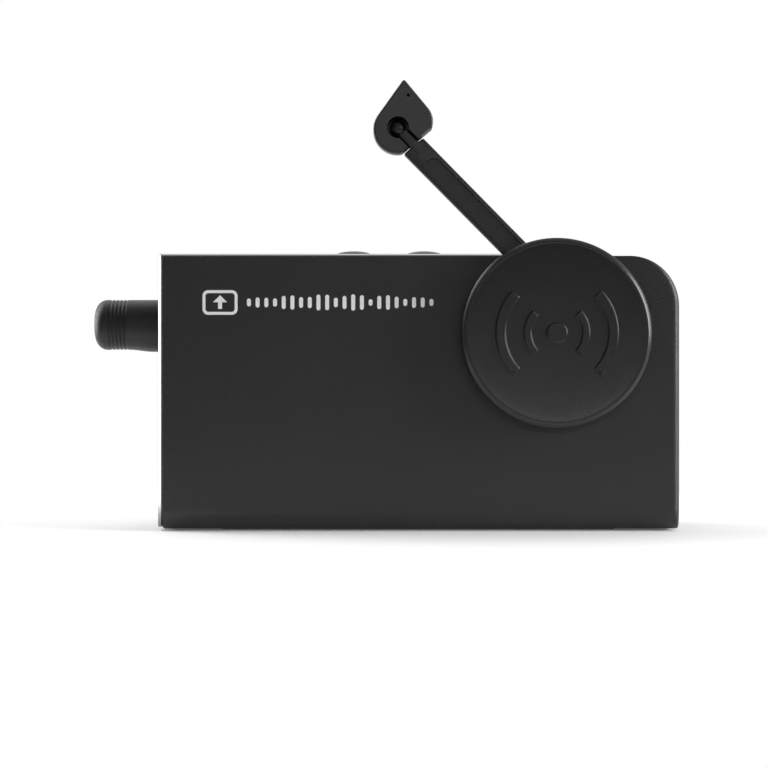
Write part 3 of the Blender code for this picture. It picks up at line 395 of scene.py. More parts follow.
def circuit_laminate():
    """Green board: copper tracks raised under the resist, with a woven ground."""
    look = Finish("circuit_laminate", Specular_IOR_Level=0.55)
    tracks = look.cells(2.6, feature="DISTANCE_TO_EDGE")
    weave = look.noise(0.3, 1.0)
    ground = (0.09 - tracks) * 14.0
    mask = look.node("ShaderNodeClamp", {}, ground)
    look.feed(Base_Color=look.tint(mask, (0.012, 0.11, 0.045), (0.03, 0.22, 0.09)),
              Roughness=weave * 0.12 + 0.26)
    return look.bump(mask + weave * 0.25, 0.03, 0.8).material


def printed_ink(colour):
    """Pad-printed white ink: slightly uneven cover with a soft tooth."""
    look = Finish("printed_ink", Specular_IOR_Level=0.35)
    cover = look.noise(0.35, 4.0, 0.6)
    look.feed(Base_Color=look.tint(cover, shade(colour, 0.9), shade(colour, 1.06)),
              Roughness=cover * 0.15 + 0.45)
    return look.bump(cover, 0.006, 0.5).material


def gold_contacts():
    """Thin gold plate with faint rub marks."""
    look = Finish("gold_contacts", Metallic=1.0)
    rub = look.noise(0.4, 3.0, place=look.stretched(1.0, 0.2, 1.0))
    look.feed(Base_Color=look.tint(rub, (0.72, 0.5, 0.18), (0.92, 0.7, 0.32)),
              Roughness=rub * 0.2 + 0.16)
    return look.bump(rub, 0.003, 0.5).material


def woven_screen():
    """Acoustic screen: two crossed sets of threads."""
    look = Finish("woven_screen")
    across = look.node("ShaderNodeMath", {"operation": "SINE"}, look.axis("X") * 21000.0)
    upward = look.node("ShaderNodeMath", {"operation": "SINE"}, look.axis("Z") * 21000.0)
    threads = look.node("ShaderNodeMath", {"operation": "MAXIMUM"}, across, upward)
    look.feed(Base_Color=look.tint(threads * 0.5 + 0.5, (0.01, 0.01, 0.01), (0.07, 0.07, 0.07)),
              Roughness=threads * 0.1 + 0.6)
    return look.bump(threads, 0.03).material


FINISHES = {}


def finish(name):
    """A finish by name, made the first time it is asked for."""
    if name not in FINISHES:
        case = settings("lifter_case")
        colour = tuple(case.colour)
        makers = {
            "case": lambda: grained_plastic("case_grain", colour, case.grain, 0.05, 0.4),
            "disc": lambda: grained_plastic("disc_satin", colour, 0.32, 0.012, 0.27),
            # The arm is the case's black plastic darkened to 0.8: painted shade for the arm lying in
            # shadow behind the disc.
            "arm": lambda: grained_plastic("arm_satin_painted_shade", shade(colour, 0.8), 0.25, 0.006, 0.36),
            # The pod is the case's black plastic lightened 1.7 times: painted light for the pod's face
            # tilted up towards the lamps.
            "pod": lambda: grained_plastic("pod_satin_painted_light", shade(colour, 1.7), 0.28, 0.008, 0.36),
            "button": lambda: grained_plastic("button_satin", colour, 0.25, 0.006, 0.38),
            "component": lambda: grained_plastic("component_black", (0.03, 0.03, 0.031), 0.2,
                                                 0.008, 0.45),
            "trim": polished_trim,
            "rubber": lambda: moulded_rubber("sleeve_rubber", (0.017, 0.017, 0.018), 0.42),
            "lead": lambda: moulded_rubber("lead_jacket", (0.015, 0.015, 0.016), 0.45),
            "steel": lambda: plated_steel("bright_steel", (0.6, 0.6, 0.61), 0.2),
            "fastener": lambda: plated_steel("zinc_screws", (0.5, 0.5, 0.51), 0.26,
                                             (1.0, 1.0, 1.0)),
            "gear": natural_acetal,
            "board": circuit_laminate,
            "contact": gold_contacts,
            "screen": woven_screen,
            "ink": lambda: printed_ink(tuple(case.print_colour)),
        }
        FINISHES[name] = makers[name]()
    return FINISHES[name]


# ---- Case -----------------------------------------------------------------------------
def roll_back(z):
    """How far the face is rolled back at a height: a quarter circle below the roll."""
    roll = settings("lifter_case").roll
    share = np.clip((BOTTOM + roll - z) / roll, 0.0, 1.0)
    return roll * (1 - np.sqrt(1 - share ** 2))


def case_ring(y, pull, inset=0.0):
    """One ring round the case at a depth, with left, right, lower and upper sides pulled
    in. Each corner is a quarter ellipse, and each upright side has rows near its foot."""
    left, right, lower, upper = pull
    sides = (SHELL_LEFT + inset + left, RIGHT - inset - right)
    levels = (BOTTOM + inset + lower, SHELL_TOP - inset - upper)
    big = settings("lifter_case").big_corner
    rows = levels[0] + np.linspace(0.12, 1.0, 12) * (BOTTOM + 6.0 - levels[0])
    ring = []
    for quarter, (side, level, size, steps) in enumerate(
            ((0, 0, 0.5, 6), (1, 0, 0.5, 6), (1, 1, big, 40), (0, 1, 0.5, 6))):
        across = max(size - inset - pull[side], 0.06)
        upward = max(size - inset - pull[2 + level], 0.06)
        centre = (sides[side] + across * (1 - 2 * side), levels[level] + upward * (1 - 2 * level))
        if (side, level) == (0, 0):
            ring.append(np.stack([np.full(12, sides[0]), rows[::-1]], -1))
        ring.append(arc(centre, (across, upward), QUARTER * (2 + quarter), QUARTER * (3 + quarter),
                        steps))
        if (side, level) == (1, 0):
            ring.append(np.stack([np.full(12, sides[1]), rows], -1))
    flat = np.concatenate(ring)
    return np.stack([flat[:, 0], np.full(len(flat), y), flat[:, 1]], -1)


def cover_mesh():
    """The front half of the case: an open tray. Rings are pulled in by 1 - sin and go
    back by 1 - cos of each edge's radius, then the whole depth is squeezed towards the
    parting by the lower roll."""
    case = settings("lifter_case")
    crisp, right, roll, wall = case.crisp_edge, case.right_roll, case.roll, case.wall
    rim = HOUSING_LOW[1] - 0.24

    def shell(inset, start):
        rings = []
        for turn in np.linspace(0, QUARTER, 14):
            shrink, sink = 1 - math.sin(turn), 1 - math.cos(turn)
            ring = case_ring(start, (crisp * shrink, right * shrink, roll * shrink,
                                     crisp * shrink), inset)
            share = np.clip((ring[:, 0] - RIGHT + case.big_corner) / case.big_corner, 0, 1)
            ring[:, 1] += (crisp + (right - crisp) * share ** 2) * sink
            rings.append(ring)
        return np.array(rings)

    outside, inside = shell(0.0, FRONT), shell(wall, FRONT + wall)[::-1]
    face = case_ring(FRONT, (crisp + 0.3, right + 0.3, roll + 0.2, crisp + 0.3))[None]
    rims = np.array([case_ring(rim - 0.12, (0, 0, 0, 0)), case_ring(rim, (0.1, 0.1, 0.1, 0.1)),
                     case_ring(rim, (wall - 0.1,) * 4, 0.0), case_ring(rim - 0.1, (0,) * 4, wall)])
    rings = np.concatenate([face, outside, rims, inside])
    back = roll_back(rings[..., 2])
    share = np.clip((rim - rings[..., 1]) / (rim - FRONT), 0, 1)
    rings[..., 1] += back * share
    return skin("front_cover_shell", rings)


class LIFTER_OT_case(bpy.types.Operator):
    """Front cover, rear housing, end trim, foot and screws"""
    bl_idname = "lifter.case"
    bl_label = "Case"

    def execute(self, context):
        hole = lathe("bush_hole", [(0, FRONT - 2), (6.12, FRONT - 2), (6.12, FRONT + 4),
                                   (0, FRONT + 4)], "Y", (TURRET[0], TURRET[2]), 64)
        cover = combine("DIFFERENCE", cover_mesh(), [hole])
        show(cover, "housing", finish("case"), "front_cover", slot="case")
        polished("rear_housing", "housing", finish("case"), "case", crease=38)
        show(trim_mesh(), "housing", finish("trim"), "end_trim", slot="trim")
        polished("base_pad", "housing", finish("rubber"), "rubber")
        for number in range(1, 5):
            polished(f"case_screw_{number}", "housing", finish("fastener"), "fastener")
        return {"FINISHED"}


def trim_mesh():
    """The L-shaped strip: its outline is carried back, and its outer sides are pulled in
    by (1 - share) to the power 1.25 over a long bevel at the front and back ends."""
    side, upper, end = 0.8, 0.4, TRIM_HIGH[0]
    low, high = TRIM_LOW[2], TRIM_HIGH[2]
    rings = []
    bevel, shares = 1.2, np.linspace(0, 1, 9)
    steps = [((1 - share) ** 1.25, TRIM_LOW[1] + bevel * share) for share in shares]
    steps += [((1 - share) ** 1.25, TRIM_HIGH[1] - bevel * share) for share in shares[::-1]]
    for pull, y in steps:
        x, z = LEFT + 0.76 * pull, high - 0.38 * pull
        corner = arc((x + 0.03, z - 0.015), (0.03, 0.015), QUARTER, 2 * QUARTER, 5)
        outline = [(x, low), (LEFT + side, low), (LEFT + side, high - upper),
                   (end, high - upper), (end, z)] + corner.tolist()
        rings.append([(a, y, b) for a, b in outline])
    strip = skin("end_trim_strip", np.array(rings))
    reach, half = 5.0 + 15.0, 6.2
    top = arc((0.0, BAR_Z + 5.0), half, 0, math.pi, 40)
    base = arc((0.0, BAR_Z + 5.0 - reach), half, math.pi, 2 * math.pi, 40)
    outline = np.concatenate([top, base])
    slot = [np.stack([np.full(len(outline), x), outline[:, 0], outline[:, 1]], -1)
            for x in (LEFT - 1, LEFT + 2)]
    tools = [skin("slot", np.array(slot))]
    for button in ("button_left", "button_right"):
        low_corner, high_corner = corners(button)
        x = (low_corner[0] + high_corner[0]) / 2
        tools.append(lathe("hole", [(0, TOP - 2), (4.2, TOP - 2), (4.2, TOP + 2), (0, TOP + 2)],
                           "Z", (x, 0.0), 64))
    return combine("DIFFERENCE", strip, tools)


# ---- Printed symbols ---------------------------------------------------------------------
def capsule(x, low, high, half):
    """Outline of an upright bar with round ends."""
    return np.concatenate([arc((x, high - half), half, 0, math.pi, 10),
                           arc((x, low + half), half, math.pi, 2 * math.pi, 10)])


def ink(name, outline):
    """A thin printed shape just proud of the case's face."""
    return skin(name, upright(outline, (FRONT - 0.035, FRONT + 0.02)))


class LIFTER_OT_print(bpy.types.Operator):
    """White symbols on the case: a framed arrow and a row of level bars"""
    bl_idname = "lifter.print"
    bl_label = "Printed symbols"

    def execute(self, context):
        left, low, high = LEFT + 9.6, TOP - 13.0, TOP - 7.8
        width, line = 7.4, 0.62
        middle = left + width / 2
        outer = framed(left, left + width, low, high, 1.2)
        inner = framed(left + line, left + width - line, low + line, high - line, 0.65)
        plate = combine("DIFFERENCE", ink("symbol_frame", outer),
                        [skin("inner", upright(inner, (FRONT - 1, FRONT + 1)))])
        show(plate, "housing", finish("ink"))
        arrow = [(middle - 0.42, low + 1.25), (middle + 0.42, low + 1.25),
                 (middle + 0.42, high - 2.55), (middle + 1.5, high - 2.55),
                 (middle, high - 1.05), (middle - 1.5, high - 2.55), (middle - 0.42, high - 2.55)]
        show(ink("symbol_arrow", arrow), "housing", finish("ink"))
        count, start, end = 22, LEFT + 19.4, LEFT + 57.9
        centre, tall = TOP - 10.4, 1.75
        for number in range(count):
            x = start + (end - start) * number / (count - 1)
            swing = abs(math.sin(0.9 + number * 0.83)) * math.sin(math.pi * (number + 1) / (count + 1))
            reach = 0.5 + (tall - 0.5) * swing ** 0.6
            show(ink(f"level_bar_{number + 1}", capsule(x, centre - reach, centre + reach, 0.42)),
                 "housing", finish("ink"))
        return {"FINISHED"}


def framed(left, right, low, high, radius):
    """Outline of a rounded rectangle."""
    parts = []
    for quarter, (x, z) in enumerate(((right, high), (left, high), (left, low), (right, low))):
        inward = (-1 if x == right else 1, -1 if z == high else 1)
        parts.append(arc((x + radius * inward[0], z + radius * inward[1]), radius,
                         QUARTER * quarter, QUARTER * (quarter + 1), 9))
    return np.concatenate(parts)


# ---- Disc ---------------------------------------------------------------------------------
def smooth_step(value):
    """0 below 0, 1 above 1 and a smooth rise between."""
    value = np.clip(value, 0.0, 1.0)
    return value * value * (3 - 2 * value)


DOT_RADIUS = 2.3
ARC_BANDS = ((5.2, 7.0), (10.6, 12.9))      # inner and outer radius of each pair of arcs
ARC_HALF_ANGLE = math.radians(44)
RELIEF_SLOPE = 0.3


def relief_height(radius, turn):
    """Raised artwork: a dot with two pairs of arcs, each a band of radius kept within
    an angle of the horizontal."""
    away = np.minimum(np.abs(np.angle(np.exp(1j * turn))),
                      np.abs(np.angle(np.exp(1j * (turn - math.pi)))))
    height = smooth_step((DOT_RADIUS - radius) / RELIEF_SLOPE)
    for inner, outer in ARC_BANDS:
        inside = smooth_step((radius - inner) / RELIEF_SLOPE)
        band = inside * smooth_step((outer - radius) / RELIEF_SLOPE)
        ends = smooth_step((ARC_HALF_ANGLE - away) * radius / 0.25)
        height = np.maximum(height, band * ends)
    return height


class LIFTER_OT_disc(bpy.types.Operator):
    """The dished disc with its bevelled rim and raised artwork"""
    bl_idname = "lifter.disc"
    bl_label = "Disc"

    def execute(self, context):
        disc = settings("lifter_disc")
        rim = (CAP_HIGH[0] - CAP_LOW[0]) / 2
        front, back = CAP_LOW[1], CAP_HIGH[1]
        flat = rim - disc.bevel - 0.4
        edges = np.array([DOT_RADIUS, *ARC_BANDS[0], *ARC_BANDS[1]])
        close = (edges[:, None] + np.linspace(-RELIEF_SLOPE, RELIEF_SLOPE, 9)).ravel()
        radii = np.unique(np.round(np.concatenate([np.linspace(0.4, flat, 42), close]), 3))
        turn = np.linspace(0, 2 * math.pi, 360, endpoint=False)
        radius = radii[:, None]
        hollow = disc.dish * (1 - (radius / flat) ** 2) ** 0.8
        face = front + hollow - disc.relief * relief_height(radius, turn[None, :])
        rings = [np.stack([TURRET[0] + radius * np.cos(turn), face,
                           TURRET[2] + radius * np.sin(turn)], -1)]
        side = [(flat + 0.12, front), (flat + 0.4, front)]
        share = np.linspace(0, 1, 9)[1:]
        side += [(flat + 0.4 + disc.bevel * (1 - (1 - b) ** 1.3), front + disc.bevel * b)
                 for b in share]
        side += [(rim, back - 0.5)]
        side += [(rim - 0.3 * (1 - math.cos(b)), back - 0.3 * (1 - math.sin(b)))
                 for b in np.linspace(0, QUARTER, 8)]
        side += [(rim - 0.6, back), (0.5, back)]
        side = np.array(side)
        ring = np.stack([TURRET[0] + side[:, :1] * np.cos(turn),
                         np.broadcast_to(side[:, 1:], (len(side), len(turn))),
                         TURRET[2] + side[:, :1] * np.sin(turn)], -1)
        cap = skin("turret_disc", np.concatenate([rings[0], ring]))
        show(cap, "mic_arm", finish("disc"), "turret_cap", slot="disc", crease=50)
        return {"FINISHED"}


# ---- Arm ----------------------------------------------------------------------------------
ARM_ANGLE = math.radians(134.6)
ALONG = np.array((math.cos(ARM_ANGLE), 0.0, math.sin(ARM_ANGLE)))
BESIDE = np.array((math.sin(ARM_ANGLE), 0.0, -math.cos(ARM_ANGLE)))
HUB_FRONT, HUB_BACK = CAP_HIGH[1] + 0.3, FRONT - 0.35
ARM_OFFSET, ARM_REACH, CHANNEL_END = 6.3, 48.89, 43.0
HEEL_SLANT = math.radians(4.8)
HEAD_REACH = float(np.dot(PIVOT - TURRET, ALONG))
HEAD_OFFSET = float(np.dot(PIVOT - TURRET, BESIDE))


def from_arm(local):
    """Points given along the arm, in depth and beside it, in the object's frame."""
    local = np.asarray(local, float)
    origin = np.array((TURRET[0], 0.0, TURRET[2]))
    return (origin + local[..., :1] * ALONG + local[..., 2:] * BESIDE
            + local[..., 1:2] * np.array((0.0, 1.0, 0.0)))


def blade_mesh():
    """The arm's blade: a rounded section carried along it and drawn in at the shoulder.
    The face channel ends in a half circle, and the lead's groove runs along the back."""
    bow, middle, edge = 1.45, 0.25, 0.35
    reach = np.unique(np.concatenate([[4.0], np.linspace(8.0, CHANNEL_END, 24),
                                      CHANNEL_END + bow * np.sin(np.linspace(0, QUARTER, 14)),
                                      ARM_REACH - 0.4 * (1 - np.sin(np.linspace(0, QUARTER, 6)))]))
    half = 2.62 - 0.1 * (1 - reach / ARM_REACH)
    past = np.clip(reach - CHANNEL_END, 0, bow)
    width = np.maximum(np.sqrt(bow ** 2 - past ** 2), 0.03)
    depth = 0.6 * smooth_step((width - 0.03) / 0.35)
    close = 0.4 - (ARM_REACH - np.maximum(reach, ARM_REACH - 0.4))
    shrink = 0.4 - np.sqrt(np.maximum(0.16 - close ** 2, 0.0))
    columns = []
    turn = np.linspace(0, QUARTER, 5)

    def column(offset, y, inward):
        skew = -offset * math.tan(HEEL_SLANT) * (reach / ARM_REACH)
        columns.append(np.stack([reach + skew, y + inward * shrink, ARM_OFFSET + offset], -1))

    for b in turn:
        column(-half + shrink + edge * (1 - np.cos(b)), HUB_FRONT + edge * (1 - np.sin(b)), 1)
    for side, y in ((-1, 0), (-1, 1), (1, 1), (1, 0)):
        rim = width + (0.04 if y == 0 else -0.02)
        column(middle + side * rim, HUB_FRONT + y * depth, 1)
    for b in turn[::-1]:
        column(half - shrink - edge * (1 - np.cos(b)), HUB_FRONT + edge * (1 - np.sin(b)), 1)
    for b in turn:
        column(half - shrink - edge * (1 - np.cos(b)), HUB_BACK - edge * (1 - np.sin(b)), -1)
    for offset, y in ((0.7, 0.0), (0.68, -1.2), (-0.68, -1.2), (-0.7, 0.0)):
        column(np.full(reach.shape, offset), np.full(reach.shape, HUB_BACK + y), -1)
    for b in turn[::-1]:
        column(-half + shrink + edge * (1 - np.cos(b)), HUB_BACK - edge * (1 - np.sin(b)), -1)
    return skin("arm_blade", from_arm(np.stack(columns, axis=1)))


def neck_mesh():
    """The neck from the shoulder to the ball: a round-cornered bar."""
    y = PIVOT[1]
    reach = np.linspace(ARM_REACH - 2.0, HEAD_REACH, 8)
    ring = framed(HEAD_OFFSET - 1.2, HEAD_OFFSET + 1.2, y - 0.75, y + 0.75, 0.45)
    rings = [np.stack([np.full(len(ring), r), ring[:, 1], ring[:, 0]], -1) for r in reach]
    return skin("arm_neck", from_arm(np.array(rings)))


class LIFTER_OT_arm(bpy.types.Operator):
    """The swinging arm with its hub, stem, blade, neck and ball, and its small fittings"""
    bl_idname = "lifter.arm"
    bl_label = "Microphone arm"

    def execute(self, context):
        high = corners("mic_arm")[1][1]
        centre = (TURRET[0], TURRET[2])
        hub = lathe("mic_arm_finished",
                    [(1.5, HUB_BACK - 1.2), (1.5, high), (3.6, high), (4.0, high - 0.4),
                     (4.0, HUB_BACK), (11.2, HUB_BACK), (11.5, HUB_BACK - 0.3),
                     (11.5, HUB_FRONT + 0.3), (11.2, HUB_FRONT), (0.6, HUB_FRONT),
                     (0.6, HUB_BACK - 1.2)], "Y", centre, 96)
        ball = [(1.7 * math.sin(b), PIVOT[1] - 1.7 * math.cos(b))
                for b in np.linspace(0.02, math.pi - 0.02, 24)]
        ball = skin("ball", lathe_rings(ball, (PIVOT[0], PIVOT[2]), 48))
        arm = combine("UNION", hub, [blade_mesh(), neck_mesh(), ball])
        arm.name = "mic_arm_finished"
        show(arm, "mic_arm", finish("arm"), "mic_arm", slot="arm", crease=40)
        polished("mic_lead", "mic_arm", finish("lead"), "lead", crease=60)
        polished("inner_lead", "housing", finish("lead"), "lead", crease=60)
        polished("retaining_clip", "mic_arm", finish("steel"), "steel")
        polished("turret_bush", "housing", finish("gear"), "gear")
        polished("wave_washer", "housing", finish("steel"), "steel")
        return {"FINISHED"}


def lathe_rings(profile, centre, steps):
    """Rings about a line along Y through a centre, one for each (radius, depth)."""
    profile = np.asarray(profile, float)
    turn = np.linspace(0, 2 * math.pi, steps, endpoint=False)
    x = centre[0] + profile[:, :1] * np.cos(turn)
    z = centre[1] + profile[:, :1] * np.sin(turn)
    return np.stack([x, np.broadcast_to(profile[:, 1:], x.shape), z], -1)


# ---- Pod ----------------------------------------------------------------------------------
def pod_outline(inset):
    """The teardrop: a band drawn tight round three circles, pulled in by an inset. Where
    the inset passes the tip's radius, the tip's circle moves down between its sides."""
    circles = [[np.array((PIVOT[0] + x, PIVOT[2] + z)), radius]
               for x, z, radius in ((-0.07, -0.39, 5.1), (3.03, 1.26, 4.3), (1.25, 9.44, 0.45))]
    tip, base = circles[2], (circles[0][0] + circles[1][0]) / 2
    over = max(inset - tip[1] + 0.04, 0.0)
    tip[0] = tip[0] + (base - tip[0]) / np.linalg.norm(base - tip[0]) * over * 1.7
    tip[1] += over
    facing = []
    for (here, size), (there, other) in zip(circles, circles[1:] + circles[:1]):
        gap = there - here
        facing.append(math.atan2(gap[1], gap[0])
                      - math.acos((size - other) / np.linalg.norm(gap)))
    parts = []
    for k, (middle, radius) in enumerate(circles):
        sweep = (facing[k] - facing[k - 1]) % (2 * math.pi)
        parts.append(arc(middle, radius - inset, facing[k - 1], facing[k - 1] + sweep,
                         (48, 24, 12)[k]))
    return np.concatenate(parts)


def pod_half(name, face, inner, edge):
    """Half of the pod: the teardrop with a rounded outer edge, then cut by the heel, the
    pivot's recess and the slot."""
    turn = np.linspace(0, QUARTER, 8)
    sign = 1 if inner > face else -1
    levels = [face] + [face + sign * edge * (1 - math.cos(b)) for b in turn] + [inner]
    insets = [edge * 1.35] + [edge * (1 - math.sin(b)) for b in turn] + [0.0]
    rings = [upright(pod_outline(inset), [level])[0] for level, inset in zip(levels, insets)]
    half = skin(name, np.array(rings))
    y = PIVOT[1]
    bend = np.radians(np.linspace(-42, 42, 33))
    heel = np.concatenate([np.stack([-4.8 * np.cos(bend), y + 4.8 * np.sin(bend)], -1),
                           [(-3.0, y + 6), (-12, y + 6), (-12, y - 6), (-3.0, y - 6)]])
    cos, sin = math.cos(HEEL_SLANT), math.sin(HEEL_SLANT)
    beyond = [np.stack([HEAD_REACH + heel[:, 0] * cos - side * sin, heel[:, 1],
                        HEAD_OFFSET + heel[:, 0] * sin + side * cos], -1) for side in (-12, 12)]
    tools = [skin("heel", from_arm(np.array(beyond)))]
    if sign > 0:
        depths, slot = (face - 1, inner + 1), (face - 1, inner + 1)
    else:
        depths, slot = (inner - 1, face - 0.25), (inner - 1, y + 0.95)
    tools.append(lathe("recess", [(0, depths[0]), (2.3, depths[0]), (2.3, depths[1]),
                                  (0, depths[1])], "Y", (PIVOT[0], PIVOT[2]), 64))
    square = [(HEAD_REACH - 8, slot[0]), (HEAD_REACH - 8, slot[1]), (HEAD_REACH, slot[1]),
              (HEAD_REACH, slot[0])]
    walls = [[(a, b, HEAD_OFFSET + side) for a, b in square] for side in (-1.4, 1.4)]
    tools.append(skin("slot", from_arm(np.array(walls))))
    capsule_x, capsule_z = PIVOT[0] + 1.3, PIVOT[2] + 5.4
    bore = (face + 0.8, inner + 1) if sign > 0 else (inner - 1, face - 0.5)
    tools.append(lathe("bore", [(0, bore[0]), (2.2, bore[0]), (2.2, bore[1]), (0, bore[1])], "Y",
                       (capsule_x, capsule_z), 48))
    if sign > 0:
        tools.append(lathe("port", [(0, face - 1), (0.35, face - 1), (0.35, face + 1),
                                    (0, face + 1)], "Y", (PIVOT[0] + 2.15, PIVOT[2] + 6.7), 24))
    return combine("DIFFERENCE", half, tools)


class LIFTER_OT_pod(bpy.types.Operator):
    """The microphone pod's halves, its capsule and its screen"""
    bl_idname = "lifter.pod"
    bl_label = "Microphone pod"

    def execute(self, context):
        back_low, back_high = corners("pod_back")
        show(pod_half("pod_front_shell", POD_LOW[1], POD_HIGH[1], 0.45), "mic_pod",
             finish("pod"), "pod_front", slot="arm", crease=40)
        show(pod_half("pod_back_shell", back_high[1], back_low[1], 0.45), "mic_pod",
             finish("pod"), "pod_back", slot="arm", crease=40)
        polished("mic_capsule", "mic_pod", finish("steel"), "steel")
        polished("port_screen", "mic_pod", finish("screen"), "screen")
        return {"FINISHED"}


# ---- Lift bar -------------------------------------------------------------------------------
class LIFTER_OT_bar(bpy.types.Operator):
    """The ribbed rubber sleeve on its rod"""
    bl_idname = "lifter.bar"
    bl_label = "Lift bar"

    def execute(self, context):
        bar = settings("lifter_bar")
        radius, tip = 5.47, SLEEVE_LOW[0]
        turn = np.linspace(0, QUARTER, 16)
        stations = [(tip + 0.02, 0.6, 0.0)]
        stations += [(tip + 0.05 + 2.58 * (1 - math.cos(b)), radius - 2.97 * (1 - math.sin(b)), 0.0)
                     for b in turn]
        start = tip + 3.25
        wave = np.linspace(0, bar.ribs, bar.ribs * 12 + 1)
        grooves = bar.rib_depth * smooth_step(0.5 - 0.9 * np.cos(2 * math.pi * wave))
        stations += [(start + step * bar.rib_pitch, radius - groove, 0.0)
                     for step, groove in zip(wave, grooves)]
        root = np.linspace(tip + 7.6, SLEEVE_HIGH[0], 24)
        drop = 0.45 * smooth_step((root - tip - 7.6) / 5.0)
        stations += list(zip(root, np.full(len(root), radius), drop))
        around = np.linspace(0, 2 * math.pi, 120, endpoint=False)
        rings = []
        for x, size, fall in stations:
            lower = np.where(np.sin(around) < 0, 1 + fall / size, 1.0)
            rings.append(np.stack([np.full(len(around), x), size * np.cos(around),
                                   BAR_Z + 0.17 + size * np.sin(around) * lower], -1))
        sleeve = skin("lift_sleeve_rubber", np.array(rings))
        bore = lathe("bore", [(0, tip + 2.06), (3.12, tip + 2.06), (3.12, SLEEVE_HIGH[0] + 5),
                              (0, SLEEVE_HIGH[0] + 5)], "X", (0.0, BAR_Z), 64)
        sleeve = combine("DIFFERENCE", sleeve, [bore])
        show(sleeve, "lift_bar", finish("rubber"), "lift_sleeve", slot="rubber", crease=50)
        polished("lift_rod", "lift_bar", finish("steel"), "steel")
        return {"FINISHED"}


# ---- Buttons ----------------------------------------------------------------------------------
class LIFTER_OT_buttons(bpy.types.Operator):
    """The two domed buttons"""
    bl_idname = "lifter.buttons"
    bl_label = "Buttons"

    def execute(self, context):
        for side in ("left", "right"):
            low, high = corners(f"button_{side}")
            middle = (low + high) / 2
            radius, flange = 4.0, (high[0] - low[0]) / 2
            collar = SHELL_TOP - 1.7 - 0.3
            bend = np.linspace(QUARTER, 0.03, 16)
            dome = [(radius * math.sin(b), high[2] - 0.9 + 0.9 * math.cos(b)) for b in bend]
            profile = [(0.05, low[2]), (1.5, low[2]), (1.5, collar - 0.7), (flange, collar - 0.7),
                       (flange, collar), (radius, collar)] + dome
            turn = np.linspace(0, 2 * math.pi, 96, endpoint=False)
            profile = np.array(profile)
            x = middle[0] + profile[:, :1] * np.cos(turn)
            rings = np.stack([x, middle[1] + profile[:, :1] * np.sin(turn),
                              np.broadcast_to(profile[:, 1:], x.shape)], -1)
            show(skin(f"button_{side}_cap", rings), f"button_{side}", finish("button"),
                 f"button_{side}", slot="button", crease=40)
        return {"FINISHED"}


# ---- Works ------------------------------------------------------------------------------------
WORKS = {
    "gear": {"lift_carriage": "lift_carriage", "lift_rack": "lift_carriage",
             "final_gear": "final_gear", "idler_gear": "idler_gear",
             "motor_pinion": "motor_rotor"},
    "steel": {"guide_rod_front": "housing", "guide_rod_rear": "housing", "final_axle": "housing",
              "idler_axle": "housing", "motor_shaft": "motor_rotor", "motor_can": "housing",
              "gear_frame": "housing"},
    "fastener": {name: "housing" for name in ("frame_screw_1", "frame_screw_2", "frame_screw_3",
                                              "board_screw_1", "board_screw_2")},
    "board": {"circuit_board": "housing", "button_board": "housing", "limit_board": "housing"},
    "component": {name: "housing" for name in (
        "control_chip", "driver_chip", "storage_capacitor", "cable_socket", "lead_plug",
        "limit_switch_top", "limit_switch_bottom", "button_switch_left",
        "button_switch_right")},
    "contact": {"socket_contacts": "housing"},
}


class LIFTER_OT_works(bpy.types.Operator):
    """Gears, motor, guides, boards, socket and switches inside the case"""
    bl_idname = "lifter.works"
    bl_label = "Works"

    def execute(self, context):
        for slot, nodes in WORKS.items():
            for node, body in nodes.items():
                polished(node, body, finish(slot), slot)
        return {"FINISHED"}


# ---- Stage --------------------------------------------------------------------------------------
def soft_light(name, size, radiance, position, target):
    """A rectangular soft light of an even brightness that faces a target."""
    data = bpy.data.lights.new(name, "AREA")
    data.shape, data.size, data.size_y = "RECTANGLE", size[0], size[1]
    data.energy = radiance * math.pi * size[0] * size[1]
    light = bpy.data.objects.new(name, data)
    bpy.context.scene.collection.objects.link(light)
    light.location = position
    light.rotation_euler = (Vector(target) - Vector(position)).to_track_quat("-Z", "Y").to_euler()
    light.visible_camera = False
    return light


def pale_floor():
    """A pale desk round the object that fades out into the white studio."""
    half = 0.5
    corner = np.array([(-half, -half), (half, -half), (half, half), (-half, half)]) / MM
    floor = mesh_from("floor", np.column_stack([corner, np.full(4, -0.02)]), [[0, 1, 2, 3]])
    pale = Finish("pale_floor")
    tone = pale.noise(60.0, 3.0)
    pale.feed(Base_Color=pale.tint(tone, (0.93, 0.93, 0.93), (0.97, 0.97, 0.97)))
    pale.shader.inputs["Emission Color"].default_value = (1, 1, 1, 1)
    pale.shader.inputs["Emission Strength"].default_value = 0.08
    pale.shader.inputs["Roughness"].default_value = 0.9
    pale.shader.inputs["Specular IOR Level"].default_value = 0.1
    away = pale.node("ShaderNodeVectorMath", {"operation": "LENGTH"}, pale.place, output=1)
    fade = pale.node("ShaderNodeMapRange", {"interpolation_type": "SMOOTHSTEP"}, away, 0.08, 0.2,
                     0.0, 1.0)
    clear = pale.tree.nodes.new("ShaderNodeBsdfTransparent")
    mix = pale.tree.nodes.new("ShaderNodeMixShader")
    pale.tree.links.new(fade.socket, mix.inputs[0])
    pale.tree.links.new(pale.shader.outputs[0], mix.inputs[1])
    pale.tree.links.new(clear.outputs[0], mix.inputs[2])
    pale.tree.links.new(mix.outputs[0], pale.tree.nodes["Material Output"].inputs["Surface"])
    floor.materials.append(pale.material)
    object_of(floor)


